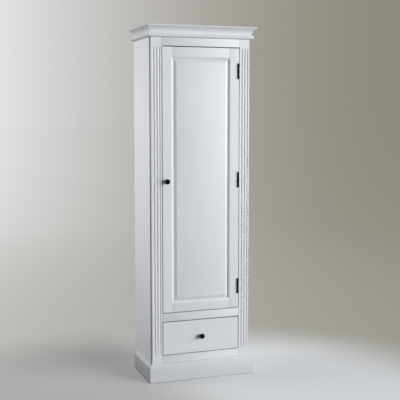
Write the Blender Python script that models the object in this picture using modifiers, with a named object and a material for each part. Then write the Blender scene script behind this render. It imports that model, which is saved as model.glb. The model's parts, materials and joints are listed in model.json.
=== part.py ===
"""Tall painted wardrobe with one framed door over one drawer.

Units are metres, +Z is up and the front faces -Y. The origin is on the floor under the
centre of the overall box. The door hangs on three five-knuckle butt hinges at the right, the
drawer runs on wooden runners, and fluted pilasters, a cornice and a plinth dress the front.
"""

import math

import bmesh
import bpy
from mathutils import Vector

# Overall size, measured over the cornice
OVERALL_WIDTH = 0.650
OVERALL_DEPTH = 0.380
OVERALL_HEIGHT = 2.000

# Clearances between pieces
SEAT_GAP = 0.0003          # pieces that touch
REVEAL = 0.003             # round the door and the drawer front
DOOR_TOP_REVEAL = 0.004    # over the door, a little wider
SHELF_PLAY = 0.0012        # each end of a loose shelf
DRAWER_SIDE_SET_IN = 0.0015  # drawer side behind the edge of its front
DRAWER_PLAY = 0.0013       # drawer side to its guide
DRAWER_TOP_PLAY = 0.004    # drawer side to its kicker

# Carcass
SIDE_THICKNESS = 0.018
BOARD_THICKNESS = 0.018    # top, bottom, divider and shelves
BACK_THICKNESS = 0.006
BACK_REBATE = 0.010        # cut out of the sides for the back
PEG_RADIUS = 0.0025
PEG_LENGTH = 0.016         # half of it in the side
PEG_SETBACK = 0.045        # peg to the front or back edge of its shelf
END_CHAMFER = 0.25         # of the radius, off the ends of pegs and screws

# Face frame: two pilasters with rails between them
FRONT_THICKNESS = 0.020    # pilasters, rails, door and drawer front
PILASTER_WIDTH = 0.060
SIDE_STEP = 0.005          # the carcass sides stand this much proud of the pilasters
BOTTOM_RAIL_HEIGHT = 0.0466
MID_RAIL_HEIGHT = 0.0478
FRIEZE_HEIGHT = 0.0463     # the frieze rail below the cornice
ARRIS = 0.0007             # broken edges, which draw the fine lines at the joints
FLUTE_COUNT = 3
FLUTE_PITCH = 0.0165
FLUTE_WIDTH = 0.0098
FLUTE_DEPTH = 0.0038
FLUTE_STOP_TOP = 0.0075    # flutes end this far below the frieze rail
FLUTE_STOP_FOOT = 0.0055   # and start this far above the bottom rail

# Cornice: half-round bead, plain sill, cove and square lip
CORNICE_PROJECTION = 0.034
CORNICE_HEIGHT = 0.0662
BEAD_PROJECTION = 0.0205
BEAD_HEIGHT = 0.0222
COVE_FOOT = 0.0096         # projection where the cove starts
COVE_SILL = 0.0015         # upright strip between bead and cove
LIP_HEIGHT = 0.0100
LIP_STEP = 0.0030          # the lip stands this much proud of the cove

# Plinth with a chamfered top edge
PLINTH_PROJECTION = 0.021
PLINTH_HEIGHT = 0.101
PLINTH_THICKNESS = 0.028
PLINTH_CHAMFER = 0.017
PLINTH_BACK_THICKNESS = 0.020
PLINTH_BLOCK_SIZE = 0.035
PLINTH_BLOCK_DROP = 0.006  # block below the top of the plinth
SKIRTING_SPACE = 0.025     # the plinth stops this far short of the wall

# Door: a frame with a run moulding round a raised and fielded panel
FRAME_FLAT = 0.052         # plain face of stiles and rails
STICKING_WIDTH = 0.0130    # moulding on the frame's inner edge
STICKING_DEPTH = 0.0060
STICKING_START = 12        # slope of the moulding where it starts, in degrees
STICKING_END = 38          # and where it ends
STICKING_FACETS = 4
STICKING_WALL = 0.0020     # upright part under the moulding
JOINT_INSET = 0.0054       # stile meets rail this far in from the start of the moulding
TENON_LENGTH = 0.030
TENON_SHOULDER = 0.012
GROOVE_WIDTH = 0.0070
GROOVE_DEPTH = 0.0080
PANEL_PLAY = 0.0010        # panel to the floor of its groove
BEVEL_WIDTH = 0.0155       # sloping border of the panel
FIELD_SETBACK = 0.0010     # panel field behind the frame's face
FIELD_STEP = 0.0010        # small shoulder round the field

# Butt hinges
HINGE_HEIGHT = 0.080       # leaves and knuckles, without the tips of the pin
HINGE_FROM_END = 0.129     # centre of the outer hinges to the end of the door
KNUCKLE_COUNT = 5
KNUCKLE_RADIUS = 0.0042
KNUCKLE_INSET = 0.0045     # pin to the edge of the door
LEAF_THICKNESS = 0.0022
LEAF_WIDTH = 0.0185
PIN_RADIUS = 0.0018
TIP_RADIUS = 0.0036
TIP_HEIGHT = 0.0050
CURL_TURN = 300            # the strip is rolled this far round, in degrees
CURL_ROOT = 0.4            # of the knuckle's radius: where the roll leaves the plate

# Knobs and their screws
KNOB_RADIUS = 0.0150
KNOB_HEAD_THICKNESS = 0.0170
KNOB_HEIGHT = 0.0275
KNOB_FOOT_RADIUS = 0.0080
KNOB_FOOT_HEIGHT = 0.0025
KNOB_NECK_RADIUS = 0.0050
KNOB_HOLE_DEPTH = 0.0110
KNOB_HEAD_UNDER = 60       # the head's round runs this far below its middle, in degrees
DOOR_KNOB_FROM_EDGE = 0.024
SCREW_RADIUS = 0.0020
SCREW_HEAD_RADIUS = 0.0042
SCREW_HEAD_HEIGHT = 0.0024
SCREW_HEAD_CROWN = 0.7     # of the head's radius: its flat top

# Magnetic catch under the fixed shelf: width, depth and height
CATCH_SIZE = (0.045, 0.015, 0.013)
CATCH_PLATE_SIZE = (0.036, 0.0015, 0.010)
CATCH_FROM_EDGE = 0.0415   # its centre to the free edge of the door

# Drawer
DRAWER_FRONT_HEIGHT = 0.1884
DRAWER_SIDE_THICKNESS = 0.012
DRAWER_REAR_SPACE = 0.0294  # free space behind the drawer, to the back panel
DRAWER_BACK_DROP = 0.006   # back lower than the sides
DRAWER_FLOOR_THICKNESS = 0.006
DRAWER_FLOOR_LIFT = 0.010  # floor above the foot of the front
DRAWER_GROOVE_DEPTH = 0.006
RUNNER_BEARING = 0.022     # width of runner under the drawer side
RUNNER_GUIDE_HEIGHT = 0.024
RUNNER_STOP_HEIGHT = 0.020

# Levels and planes that follow from the sizes above
face_y = CORNICE_PROJECTION - OVERALL_DEPTH / 2
back_y = OVERALL_DEPTH / 2
half_face = OVERALL_WIDTH / 2 - CORNICE_PROJECTION
half_opening = half_face - PILASTER_WIDTH
half_door = half_opening - REVEAL
side_outer = half_face + SIDE_STEP
side_inner = side_outer - SIDE_THICKNESS
front_back_y = face_y + FRONT_THICKNESS
inner_front_y = front_back_y + SEAT_GAP
inner_back_y = back_y - BACK_THICKNESS - SEAT_GAP
plinth_back_y = back_y - SKIRTING_SPACE
carcass_bottom = PLINTH_HEIGHT + SEAT_GAP
carcass_top = OVERALL_HEIGHT - BOARD_THICKNESS - SEAT_GAP
cornice_bottom = OVERALL_HEIGHT - CORNICE_HEIGHT
frieze_bottom = cornice_bottom - FRIEZE_HEIGHT
bottom_rail_top = PLINTH_HEIGHT + BOTTOM_RAIL_HEIGHT
drawer_bottom = bottom_rail_top + REVEAL
drawer_top = drawer_bottom + DRAWER_FRONT_HEIGHT
mid_rail_bottom = drawer_top + REVEAL
mid_rail_top = mid_rail_bottom + MID_RAIL_HEIGHT
door_bottom = mid_rail_top + REVEAL
door_top = frieze_bottom - DOOR_TOP_REVEAL
door_middle = (door_bottom + door_top) / 2
hinge_x = half_door - KNUCKLE_INSET
hinge_y = face_y - KNUCKLE_RADIUS - SEAT_GAP
drawer_length = inner_back_y - inner_front_y - DRAWER_REAR_SPACE

PART_COLLECTION = "wardrobe"
CUTTER_COLLECTION = "wardrobe_cutters"

PAINT = "white_paint"
PINE = "bare_pine"
PLY = "plywood"
IRON = "black_iron"
ZINC = "zinc"
PLASTIC = "catch_plastic"

# Base colour, roughness and metallic of each finish
FINISHES = {
    PAINT: ((0.80, 0.81, 0.84), 0.42, 0.0),
    PINE: ((0.72, 0.56, 0.36), 0.60, 0.0),
    PLY: ((0.78, 0.78, 0.79), 0.55, 0.0),
    IRON: ((0.012, 0.012, 0.014), 0.38, 0.6),
    ZINC: ((0.62, 0.63, 0.65), 0.35, 1.0),
    PLASTIC: ((0.70, 0.70, 0.68), 0.50, 0.0),
}

ALONG_Y = (math.radians(90), 0, 0)   # local X, Y and Z lie along world X, Z and -Y
ALONG_X = (0, math.radians(90), 0)   # local Z lies along world X
SIDES = (("left", -1), ("right", 1))

# How finely round shapes are faceted
ROUND_STEPS = 24
SMALL_ROUND_STEPS = 16
PEG_STEPS = 12
BEAD_STEPS = 10
COVE_STEPS = 8
CURL_STEPS = 15
TIP_STEPS = 5
KNOB_HEAD_STEPS = 11
FLUTE_STEPS = 18
FLUTE_RINGS = 7            # odd, so that the rod's middle is a straight band
SMOOTH_ANGLE = math.radians(35)
BREAK_ANGLE = math.radians(40)


def clear_scene():
    for obj in list(bpy.data.objects):
        bpy.data.objects.remove(obj, do_unlink=True)


def collection(name):
    found = bpy.data.collections.get(name)
    if found is None:
        found = bpy.data.collections.new(name)
        bpy.context.scene.collection.children.link(found)
    return found


def material(name):
    found = bpy.data.materials.get(name)
    if found is None:
        colour, roughness, metallic = FINISHES[name]
        found = bpy.data.materials.new(name)
        found.use_nodes = True
        shader = found.node_tree.nodes["Principled BSDF"]
        shader.inputs["Base Color"].default_value = (*colour, 1.0)
        shader.inputs["Roughness"].default_value = roughness
        shader.inputs["Metallic"].default_value = metallic
    return found


def smooth(mesh):
    mesh.shade_smooth()
    mesh.set_sharp_from_angle(angle=SMOOTH_ANGLE)


def add_part(name, mesh, finish, location=(0, 0, 0), rotation=(0, 0, 0)):
    mesh.materials.clear()
    mesh.materials.append(material(finish))
    part = bpy.data.objects.new(name, mesh)
    part.location = location
    part.rotation_euler = rotation
    collection(PART_COLLECTION).objects.link(part)
    return part


def add_cutter(name, mesh, location=(0, 0, 0), rotation=(0, 0, 0)):
    cutter = bpy.data.objects.new(name, mesh)
    cutter.location = location
    cutter.rotation_euler = rotation
    cutter.hide_render = True
    cutter.display_type = "WIRE"
    collection(CUTTER_COLLECTION).objects.link(cutter)
    return cutter


def add_carrier(name, location):
    """An empty on a joint's axis, to which the pieces that move are parented."""
    carrier = bpy.data.objects.new(name, None)
    carrier.location = location
    collection(PART_COLLECTION).objects.link(carrier)
    return carrier


def attach(piece, carrier):
    """Parent a piece that has its place already, and keep it there."""
    piece.parent = carrier
    piece.location = Vector(piece.location) - Vector(carrier.location)


def boolean(part, cutter, operation="DIFFERENCE"):
    modifier = part.modifiers.new(cutter.name, "BOOLEAN")
    modifier.operation = operation
    modifier.solver = "EXACT"
    modifier.object = cutter


def break_edges(part):
    modifier = part.modifiers.new("broken edges", "BEVEL")
    modifier.width = ARRIS
    modifier.segments = 1
    modifier.limit_method = "ANGLE"
    modifier.angle_limit = BREAK_ANGLE


def cuboid_mesh(name, size):
    mesh = bpy.data.meshes.new(name)
    bm = bmesh.new()
    bmesh.ops.create_cube(bm, size=1.0)
    bmesh.ops.scale(bm, vec=size, verts=bm.verts)
    bm.to_mesh(mesh)
    bm.free()
    return mesh


def span(low, high):
    """Size and centre of the cuboid between two corners."""
    low, high = Vector(low), Vector(high)
    return high - low, (low + high) / 2


def board(name, low, high, finish, broken=False):
    size, centre = span(low, high)
    part = add_part(name, cuboid_mesh(name, size), finish, centre)
    if broken:
        break_edges(part)
    return part


def box_cutter(name, low, high):
    size, centre = span(low, high)
    return add_cutter(name, cuboid_mesh(name, size), centre)


def rod_cutter(name, radius, length, location, rotation=(0, 0, 0)):
    """A cylinder along its own Z, centred."""
    mesh = bpy.data.meshes.new(name)
    bm = bmesh.new()
    bmesh.ops.create_cone(
        bm,
        cap_ends=True,
        segments=SMALL_ROUND_STEPS,
        radius1=radius,
        radius2=radius,
        depth=length,
    )
    bm.to_mesh(mesh)
    bm.free()
    smooth(mesh)
    return add_cutter(name, mesh, location, rotation)


def section_mesh(name, outline, length):
    """An outline in XY drawn out along Z, about its middle, as one welded mesh."""
    curve = bpy.data.curves.new(name, "CURVE")
    curve.dimensions = "2D"
    curve.fill_mode = "BOTH"
    curve.extrude = length / 2
    spline = curve.splines.new("POLY")
    spline.points.add(len(outline) - 1)
    for point, (x, y) in zip(spline.points, outline):
        point.co = (x, y, 0, 1)
    spline.use_cyclic_u = True
    drawn = bpy.data.objects.new(name, curve)
    collection(CUTTER_COLLECTION).objects.link(drawn)
    graph = bpy.context.evaluated_depsgraph_get()
    mesh = bpy.data.meshes.new_from_object(drawn.evaluated_get(graph))
    bpy.data.objects.remove(drawn)
    bpy.data.curves.remove(curve)
    bm = bmesh.new()
    bm.from_mesh(mesh)
    bmesh.ops.remove_doubles(bm, verts=bm.verts, dist=1e-6)
    bmesh.ops.recalc_face_normals(bm, faces=bm.faces)
    bm.to_mesh(mesh)
    bm.free()
    mesh.name = name
    return mesh


def turned(name, profile, finish, location, rotation=(0, 0, 0), steps=ROUND_STEPS):
    """A turned piece about its own Z. The profile is (radius, height) down its outer side."""
    mesh = bpy.data.meshes.new(name)
    bm = bmesh.new()
    verts = [bm.verts.new((radius, 0, height)) for radius, height in profile]
    for upper, lower in zip(verts, verts[1:]):
        bm.edges.new((upper, lower))
    bm.to_mesh(mesh)
    bm.free()
    part = add_part(name, mesh, finish, location, rotation)
    screw = part.modifiers.new("turning", "SCREW")
    screw.axis = "Z"
    screw.steps = steps
    screw.render_steps = steps
    screw.use_merge_vertices = True
    screw.merge_threshold = 0.00001
    screw.use_smooth_shade = True
    return part


def arc(centre, radii, start, end, steps):
    """Points on an ellipse from one angle to another, in degrees, both ends included."""
    points = []
    for i in range(steps + 1):
        angle = math.radians(start + (end - start) * i / steps)
        x = centre[0] + radii[0] * math.cos(angle)
        y = centre[1] + radii[1] * math.sin(angle)
        points.append((x, y))
    return points


def moulding_run(name, outline, foot, facing, length, mitres):
    """A moulding drawn out along a wall and mitred where it turns a corner.

    The outline is (outward, up) from the foot line, and facing is the way that it looks, in
    degrees from +X. The run lies along its own Z, centred. A true mitre, at its -Z or +Z end,
    makes that end longer as the moulding stands out, less half the gap at the mitre.
    """
    mesh = section_mesh(name, outline, length)
    ease = SEAT_GAP / math.sqrt(2)
    for vert in mesh.vertices:
        end = 1 if vert.co.z > 0 else 0
        if mitres[end]:
            vert.co.z += (vert.co.x - ease) * (1 if end else -1)
    smooth(mesh)
    return add_part(name, mesh, PAINT, foot, (math.radians(90), 0, math.radians(facing)))


def moulding_set(prefix, outline, side_back, rear_y, foot_z):
    """Front, left and right runs of one moulding. The side runs are cut back to side_back."""
    moulding_run(
        f"{prefix}_front", outline, (0, face_y, foot_z), -90, 2 * half_face, (True, True)
    )
    side_outline = [(max(out, side_back), up) for out, up in outline]
    length = rear_y - face_y
    middle_y = (rear_y + face_y) / 2
    for side_name, side in SIDES:
        moulding_run(
            f"{prefix}_{side_name}",
            side_outline,
            (side * half_face, middle_y, foot_z),
            0 if side > 0 else 180,
            length,
            (side < 0, side > 0),
        )


def make_cornice():
    bead_radii = (BEAD_HEIGHT / 2, BEAD_HEIGHT / 2)
    bead_centre = (BEAD_PROJECTION - BEAD_HEIGHT / 2, BEAD_HEIGHT / 2)
    cove_foot = BEAD_HEIGHT + COVE_SILL
    lip_foot = CORNICE_HEIGHT - LIP_HEIGHT
    cove_out = CORNICE_PROJECTION - LIP_STEP
    cove_radii = (cove_out - COVE_FOOT, lip_foot - cove_foot)
    outline = [
        (SEAT_GAP, 0),
        *arc(bead_centre, bead_radii, -90, 90, BEAD_STEPS),
        (COVE_FOOT, BEAD_HEIGHT),
        *arc((cove_out, cove_foot), cove_radii, 180, 90, COVE_STEPS),
        (CORNICE_PROJECTION, lip_foot),
        (CORNICE_PROJECTION, CORNICE_HEIGHT),
        (SEAT_GAP, CORNICE_HEIGHT),
    ]
    moulding_set("cornice", outline, SIDE_STEP + SEAT_GAP, back_y, cornice_bottom)


def make_plinth():
    inner = PLINTH_PROJECTION - PLINTH_THICKNESS
    outline = [
        (inner, 0),
        (PLINTH_PROJECTION, 0),
        (PLINTH_PROJECTION, PLINTH_HEIGHT - PLINTH_CHAMFER),
        (PLINTH_PROJECTION - PLINTH_CHAMFER, PLINTH_HEIGHT),
        (inner, PLINTH_HEIGHT),
    ]
    moulding_set("plinth", outline, inner, plinth_back_y, 0)
    end_x = half_face + inner - SEAT_GAP
    board(
        "plinth_back",
        (-end_x, plinth_back_y - PLINTH_BACK_THICKNESS, 0),
        (end_x, plinth_back_y, PLINTH_HEIGHT),
        PAINT,
    )
    corner_y = face_y - inner + SEAT_GAP
    for side_name, side in SIDES:
        near, far = sorted((side * (end_x - PLINTH_BLOCK_SIZE), side * end_x))
        board(
            f"plinth_block_{side_name}",
            (near, corner_y, PLINTH_BLOCK_DROP),
            (far, corner_y + PLINTH_BLOCK_SIZE, PLINTH_HEIGHT - PLINTH_BLOCK_DROP),
            PINE,
        )


def shelf_levels():
    """Undersides of the three shelves, which part the door's compartment evenly."""
    names = ("shelf_lower", "fixed_shelf", "shelf_upper")
    clear = carcass_top - mid_rail_top - len(names) * BOARD_THICKNESS
    pitch = clear / (len(names) + 1) + BOARD_THICKNESS
    return {name: mid_rail_top + pitch * (i + 1) - BOARD_THICKNESS for i, name in enumerate(names)}


def peg_spots(side):
    """(name, centre) of the pegs in one side, two under each loose shelf."""
    side_name = "left" if side < 0 else "right"
    ends = (("front", inner_front_y + PEG_SETBACK), ("rear", inner_back_y - PEG_SETBACK))
    spots = []
    for shelf in ("shelf_lower", "shelf_upper"):
        z = shelf_levels()[shelf] - SEAT_GAP - PEG_RADIUS
        for end, y in ends:
            spots.append((f"{shelf}_peg_{side_name}_{end}", (side * side_inner, y, z)))
    return spots


def make_sides():
    rebate_x = side_inner + BACK_REBATE
    middle_z = (carcass_top + carcass_bottom) / 2
    for side_name, side in SIDES:
        outline = [
            (side * side_outer, inner_front_y),
            (side * side_outer, back_y),
            (side * rebate_x, back_y),
            (side * rebate_x, inner_back_y),
            (side * side_inner, inner_back_y),
            (side * side_inner, inner_front_y),
        ]
        name = f"side_panel_{side_name}"
        mesh = section_mesh(name, outline, carcass_top - carcass_bottom)
        panel = add_part(name, mesh, PAINT, (0, 0, middle_z))
        for peg, centre in peg_spots(side):
            depth = PEG_LENGTH + 2 * SEAT_GAP
            hole = rod_cutter(f"{peg}_hole", PEG_RADIUS + SEAT_GAP, depth, centre, ALONG_X)
            boolean(panel, hole)


def make_pegs():
    half = PEG_LENGTH / 2
    chamfer = END_CHAMFER * PEG_RADIUS
    upper = [(0, half), (PEG_RADIUS - chamfer, half), (PEG_RADIUS, half - chamfer)]
    profile = upper + [(radius, -height) for radius, height in reversed(upper)]
    for _, side in SIDES:
        for name, centre in peg_spots(side):
            turned(name, profile, ZINC, centre, ALONG_X, PEG_STEPS)


def make_boards():
    board(
        "top_board",
        (-side_outer, face_y, OVERALL_HEIGHT - BOARD_THICKNESS),
        (side_outer, back_y, OVERALL_HEIGHT),
        PAINT,
    )
    end_x = side_inner - SEAT_GAP
    levels = shelf_levels()
    for name, level, finish in (
        ("bottom_board", carcass_bottom, PINE),
        ("divider_board", mid_rail_top - BOARD_THICKNESS, PAINT),
        ("fixed_shelf", levels["fixed_shelf"], PAINT),
    ):
        high = (end_x, inner_back_y - SEAT_GAP, level + BOARD_THICKNESS)
        board(name, (-end_x, inner_front_y, level), high, finish)
    loose_x = side_inner - SHELF_PLAY
    for name in ("shelf_lower", "shelf_upper"):
        level = levels[name]
        high = (loose_x, inner_back_y - SEAT_GAP, level + BOARD_THICKNESS)
        board(name, (-loose_x, inner_front_y, level), high, PAINT, broken=True)
    back_x = side_inner + BACK_REBATE - SEAT_GAP
    board(
        "back_panel",
        (-back_x, back_y - BACK_THICKNESS, carcass_bottom),
        (back_x, back_y, carcass_top),
        PLY,
    )


def flute_cutter(name, x, low, high):
    """A long round-ended rod. The part of it behind the face makes one flute."""
    radius = (FLUTE_WIDTH**2 / 4 + FLUTE_DEPTH**2) / (2 * FLUTE_DEPTH)
    widest = math.cos(math.pi / (2 * FLUTE_RINGS))
    half_run = (high - low) / 2 - radius
    mesh = bpy.data.meshes.new(name)
    bm = bmesh.new()
    bmesh.ops.create_uvsphere(
        bm, u_segments=FLUTE_STEPS, v_segments=FLUTE_RINGS, radius=radius / widest
    )
    for vert in bm.verts:
        vert.co.z = vert.co.z * widest + math.copysign(half_run, vert.co.z)
    bm.to_mesh(mesh)
    bm.free()
    smooth(mesh)
    return add_cutter(name, mesh, (x, face_y + FLUTE_DEPTH - radius, (low + high) / 2))


def make_pilasters():
    flute_low = bottom_rail_top + FLUTE_STOP_FOOT
    flute_high = frieze_bottom - FLUTE_STOP_TOP
    for side_name, side in SIDES:
        near, far = sorted((side * half_opening, side * half_face))
        pilaster = board(
            f"pilaster_{side_name}",
            (near, face_y, carcass_bottom),
            (far, front_back_y, carcass_top),
            PAINT,
            broken=True,
        )
        for i in range(FLUTE_COUNT):
            x = (near + far) / 2 + (i - (FLUTE_COUNT - 1) / 2) * FLUTE_PITCH
            boolean(pilaster, flute_cutter(f"flute_{side_name}_{i + 1}", x, flute_low, flute_high))


def make_rails():
    end_x = half_opening - SEAT_GAP
    for name, low, high in (
        ("frieze_rail", frieze_bottom, carcass_top),
        ("mid_rail", mid_rail_bottom, mid_rail_top),
        ("bottom_rail", carcass_bottom, bottom_rail_top),
    ):
        board(name, (-end_x, face_y, low), (end_x, front_back_y, high), PAINT, broken=True)


def face_looking(bm, direction):
    """The largest face that looks this way."""
    bm.normal_update()
    facing = [face for face in bm.faces if face.normal.dot(Vector(direction)) > 0.99]
    return max(facing, key=lambda face: face.calc_area())


def inset(bm, face, width, sink=0.0):
    """Draw a face in by a width and sink it. A sink below zero raises it."""
    bmesh.ops.inset_individual(
        bm, faces=[face], thickness=width, depth=-sink, use_even_offset=True
    )
    bm.normal_update()


def sticking_facets():
    """(width, depth) of each facet of the rounded moulding, from the face inwards."""
    start, end = 90 - STICKING_START, 90 - STICKING_END
    points = arc((0, 0), (1, 1), start, end, STICKING_FACETS)
    run = points[-1][0] - points[0][0]
    drop = points[0][1] - points[-1][1]
    facets = []
    for (x0, y0), (x1, y1) in zip(points, points[1:]):
        facets.append(((x1 - x0) / run * STICKING_WIDTH, (y0 - y1) / drop * STICKING_DEPTH))
    return facets


def door_frame_ring():
    """The moulded frame as one ring, from which the stiles and rails are cut."""
    size = (2 * half_door, FRONT_THICKNESS, door_top - door_bottom)
    mesh = cuboid_mesh("door_frame_ring", size)
    bm = bmesh.new()
    bm.from_mesh(mesh)
    bmesh.ops.bevel(bm, geom=bm.edges[:], offset=ARRIS, segments=1, affect="EDGES")
    front = face_looking(bm, (0, -1, 0))
    inset(bm, front, FRAME_FLAT - ARRIS)
    for width, depth in sticking_facets():
        inset(bm, front, width, depth)
    back = face_looking(bm, (0, 1, 0))
    inset(bm, back, FRAME_FLAT + STICKING_WIDTH - ARRIS)
    rims = [*front.edges, *back.edges]
    bmesh.ops.delete(bm, geom=[front, back], context="FACES_ONLY")
    bmesh.ops.bridge_loops(bm, edges=rims)
    bmesh.ops.recalc_face_normals(bm, faces=bm.faces)
    bm.to_mesh(mesh)
    bm.free()
    return add_cutter("door_frame_ring", mesh, (0, face_y + FRONT_THICKNESS / 2, door_middle))


def member_outlines():
    """Each frame member seen from the front: butted at the joint line, mitred inside it.

    The outlines are larger than the frame outwards and into the opening.
    """
    spare = STICKING_WIDTH
    joint = half_door - FRAME_FLAT - JOINT_INSET
    rise = (door_top - door_bottom) / 2
    corner = rise - FRAME_FLAT - JOINT_INSET
    half_gap = SEAT_GAP / 2
    turn = half_gap * (math.sqrt(2) - 1)
    rail_x, rail_z = joint - half_gap, corner + turn
    stile_x, stile_z = joint + half_gap, corner - turn
    top, far = rise + spare, half_door + spare
    return {
        "door_rail_top": [
            (-rail_x, top),
            (rail_x, top),
            (rail_x, rail_z),
            (rail_x - spare, rail_z - spare),
            (spare - rail_x, rail_z - spare),
            (-rail_x, rail_z),
        ],
        "door_stile_right": [
            (stile_x, top),
            (far, top),
            (far, -top),
            (stile_x, -top),
            (stile_x, -stile_z),
            (stile_x - spare, spare - stile_z),
            (stile_x - spare, stile_z - spare),
            (stile_x, stile_z),
        ],
    }


def make_door_frame(hinge_line):
    """Stiles and rails with their groove, tenons, mortises and joint lines."""
    middle = (0, face_y + FRONT_THICKNESS / 2, door_middle)
    outlines = member_outlines()
    outlines["door_rail_bottom"] = [(x, -z) for x, z in outlines["door_rail_top"]]
    outlines["door_stile_left"] = [(-x, z) for x, z in outlines["door_stile_right"]]
    sight_x = half_door - FRAME_FLAT - STICKING_WIDTH
    sight_rise = (door_top - door_bottom) / 2 - FRAME_FLAT - STICKING_WIDTH
    groove_y = face_y + STICKING_DEPTH + STICKING_WALL
    groove_x = sight_x + GROOVE_DEPTH
    groove_rise = sight_rise + GROOVE_DEPTH
    ring = door_frame_ring()
    groove = box_cutter(
        "panel_groove",
        (-groove_x, groove_y, door_middle - groove_rise),
        (groove_x, groove_y + GROOVE_WIDTH, door_middle + groove_rise),
    )
    attach(ring, hinge_line)
    attach(groove, hinge_line)
    members = {}
    for name, outline in outlines.items():
        mesh = section_mesh(name, outline, 2 * FRONT_THICKNESS)
        member = add_part(name, mesh, PAINT, middle, ALONG_Y)
        boolean(member, ring, "INTERSECT")
        boolean(member, groove)
        attach(member, hinge_line)
        members[name] = member
    joint = half_door - FRAME_FLAT - JOINT_INSET
    corner = (door_top - door_bottom) / 2 - FRAME_FLAT - JOINT_INSET
    tenon_low = groove_rise + SEAT_GAP
    tenon_high = (door_top - door_bottom) / 2 - TENON_SHOULDER
    for side_name, side in SIDES:
        for end_name, end in (("top", 1), ("bottom", -1)):
            spot = f"{end_name}_{side_name}"
            rail = members[f"door_rail_{end_name}"]
            stile = members[f"door_stile_{side_name}"]
            near, far = sorted((side * (joint - TENON_LENGTH), side * (joint + TENON_LENGTH)))
            low, high = sorted((door_middle + end * tenon_low, door_middle + end * tenon_high))
            tenon = box_cutter(
                f"tenon_{spot}",
                (near, groove_y + SEAT_GAP, low),
                (far, groove_y + GROOVE_WIDTH - SEAT_GAP, high),
            )
            mortise = box_cutter(
                f"mortise_{spot}",
                (near - SEAT_GAP, groove_y, low - SEAT_GAP),
                (far + SEAT_GAP, groove_y + GROOVE_WIDTH, high + SEAT_GAP),
            )
            low, high = sorted((end * corner, end * (tenon_high + FRAME_FLAT)))
            line = add_cutter(
                f"joint_line_{spot}",
                cuboid_mesh(f"joint_line_{spot}", (*[math.sqrt(2) * ARRIS] * 2, high - low)),
                (side * joint, face_y, door_middle + (low + high) / 2),
                (0, 0, math.radians(45)),
            )
            boolean(rail, tenon, "UNION")
            boolean(stile, mortise)
            boolean(rail, line)
            boolean(stile, line)
            for cutter in (tenon, mortise, line):
                attach(cutter, hinge_line)
    return members


def make_door_panel(hinge_line):
    """Tongue all round in the frame's groove, a sloping border and a raised field."""
    reach = GROOVE_DEPTH - PANEL_PLAY
    sight_x = half_door - FRAME_FLAT - STICKING_WIDTH
    sight_rise = (door_top - door_bottom) / 2 - FRAME_FLAT - STICKING_WIDTH
    tongue_front = face_y + STICKING_DEPTH + STICKING_WALL + SEAT_GAP
    tongue_back = tongue_front + GROOVE_WIDTH - 2 * SEAT_GAP
    size, centre = span(
        (-sight_x - reach, tongue_front, door_middle - sight_rise - reach),
        (sight_x + reach, tongue_back, door_middle + sight_rise + reach),
    )
    mesh = cuboid_mesh("door_panel", size)
    bm = bmesh.new()
    bm.from_mesh(mesh)
    field = face_looking(bm, (0, -1, 0))
    rise = tongue_front - face_y - FIELD_SETBACK
    inset(bm, field, reach)
    inset(bm, field, BEVEL_WIDTH, FIELD_STEP - rise)
    inset(bm, field, FIELD_STEP, -FIELD_STEP)
    bm.to_mesh(mesh)
    bm.free()
    attach(add_part("door_panel", mesh, PAINT, centre), hinge_line)


def knuckle_spans(first):
    """(low, high) of every second knuckle, about the middle of the hinge."""
    pitch = (HINGE_HEIGHT + SEAT_GAP) / KNUCKLE_COUNT
    lows = [i * pitch - HINGE_HEIGHT / 2 for i in range(first, KNUCKLE_COUNT, 2)]
    return [(low, low + pitch - SEAT_GAP) for low in lows]


def leaf_mesh(name, plate_low, plate_high, other_first):
    """One hinge leaf about its pin: a strip rolled into a barrel, cut for the other's knuckles."""
    plate_front = KNUCKLE_RADIUS + 2 * SEAT_GAP
    plate_back = plate_front + LEAF_WIDTH
    outline = [
        (plate_low, plate_back),
        (plate_high, plate_back),
        (plate_high, CURL_ROOT * KNUCKLE_RADIUS),
        *arc((0, 0), (KNUCKLE_RADIUS, KNUCKLE_RADIUS), 0, -CURL_TURN, CURL_STEPS),
        (plate_low, KNUCKLE_RADIUS - SEAT_GAP),
    ]
    strip = add_cutter(name, section_mesh(name, outline, HINGE_HEIGHT))
    wide = plate_back
    cutters = []
    for low, high in knuckle_spans(other_first):
        corners = (-wide, -wide, low - SEAT_GAP), (wide, plate_front, high + SEAT_GAP)
        cutters.append(box_cutter(f"{name}_notch", *corners))
    bore = rod_cutter(f"{name}_bore", PIN_RADIUS + SEAT_GAP, 2 * HINGE_HEIGHT, (0, 0, 0))
    cutters.append(bore)
    for cutter in cutters:
        boolean(strip, cutter)
    graph = bpy.context.evaluated_depsgraph_get()
    mesh = bpy.data.meshes.new_from_object(strip.evaluated_get(graph))
    for helper in (strip, *cutters):
        bpy.data.objects.remove(helper)
    smooth(mesh)
    return mesh


def pin_profile():
    """The pin and its two domed tips, which sit on the end knuckles."""
    seat = HINGE_HEIGHT / 2 + SEAT_GAP
    dome = arc((0, seat), (TIP_RADIUS, TIP_HEIGHT), 90, 0, TIP_STEPS)
    upper = [(0, seat + TIP_HEIGHT), *dome[1:], (PIN_RADIUS, seat)]
    return upper + [(radius, -height) for radius, height in reversed(upper)]


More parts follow.
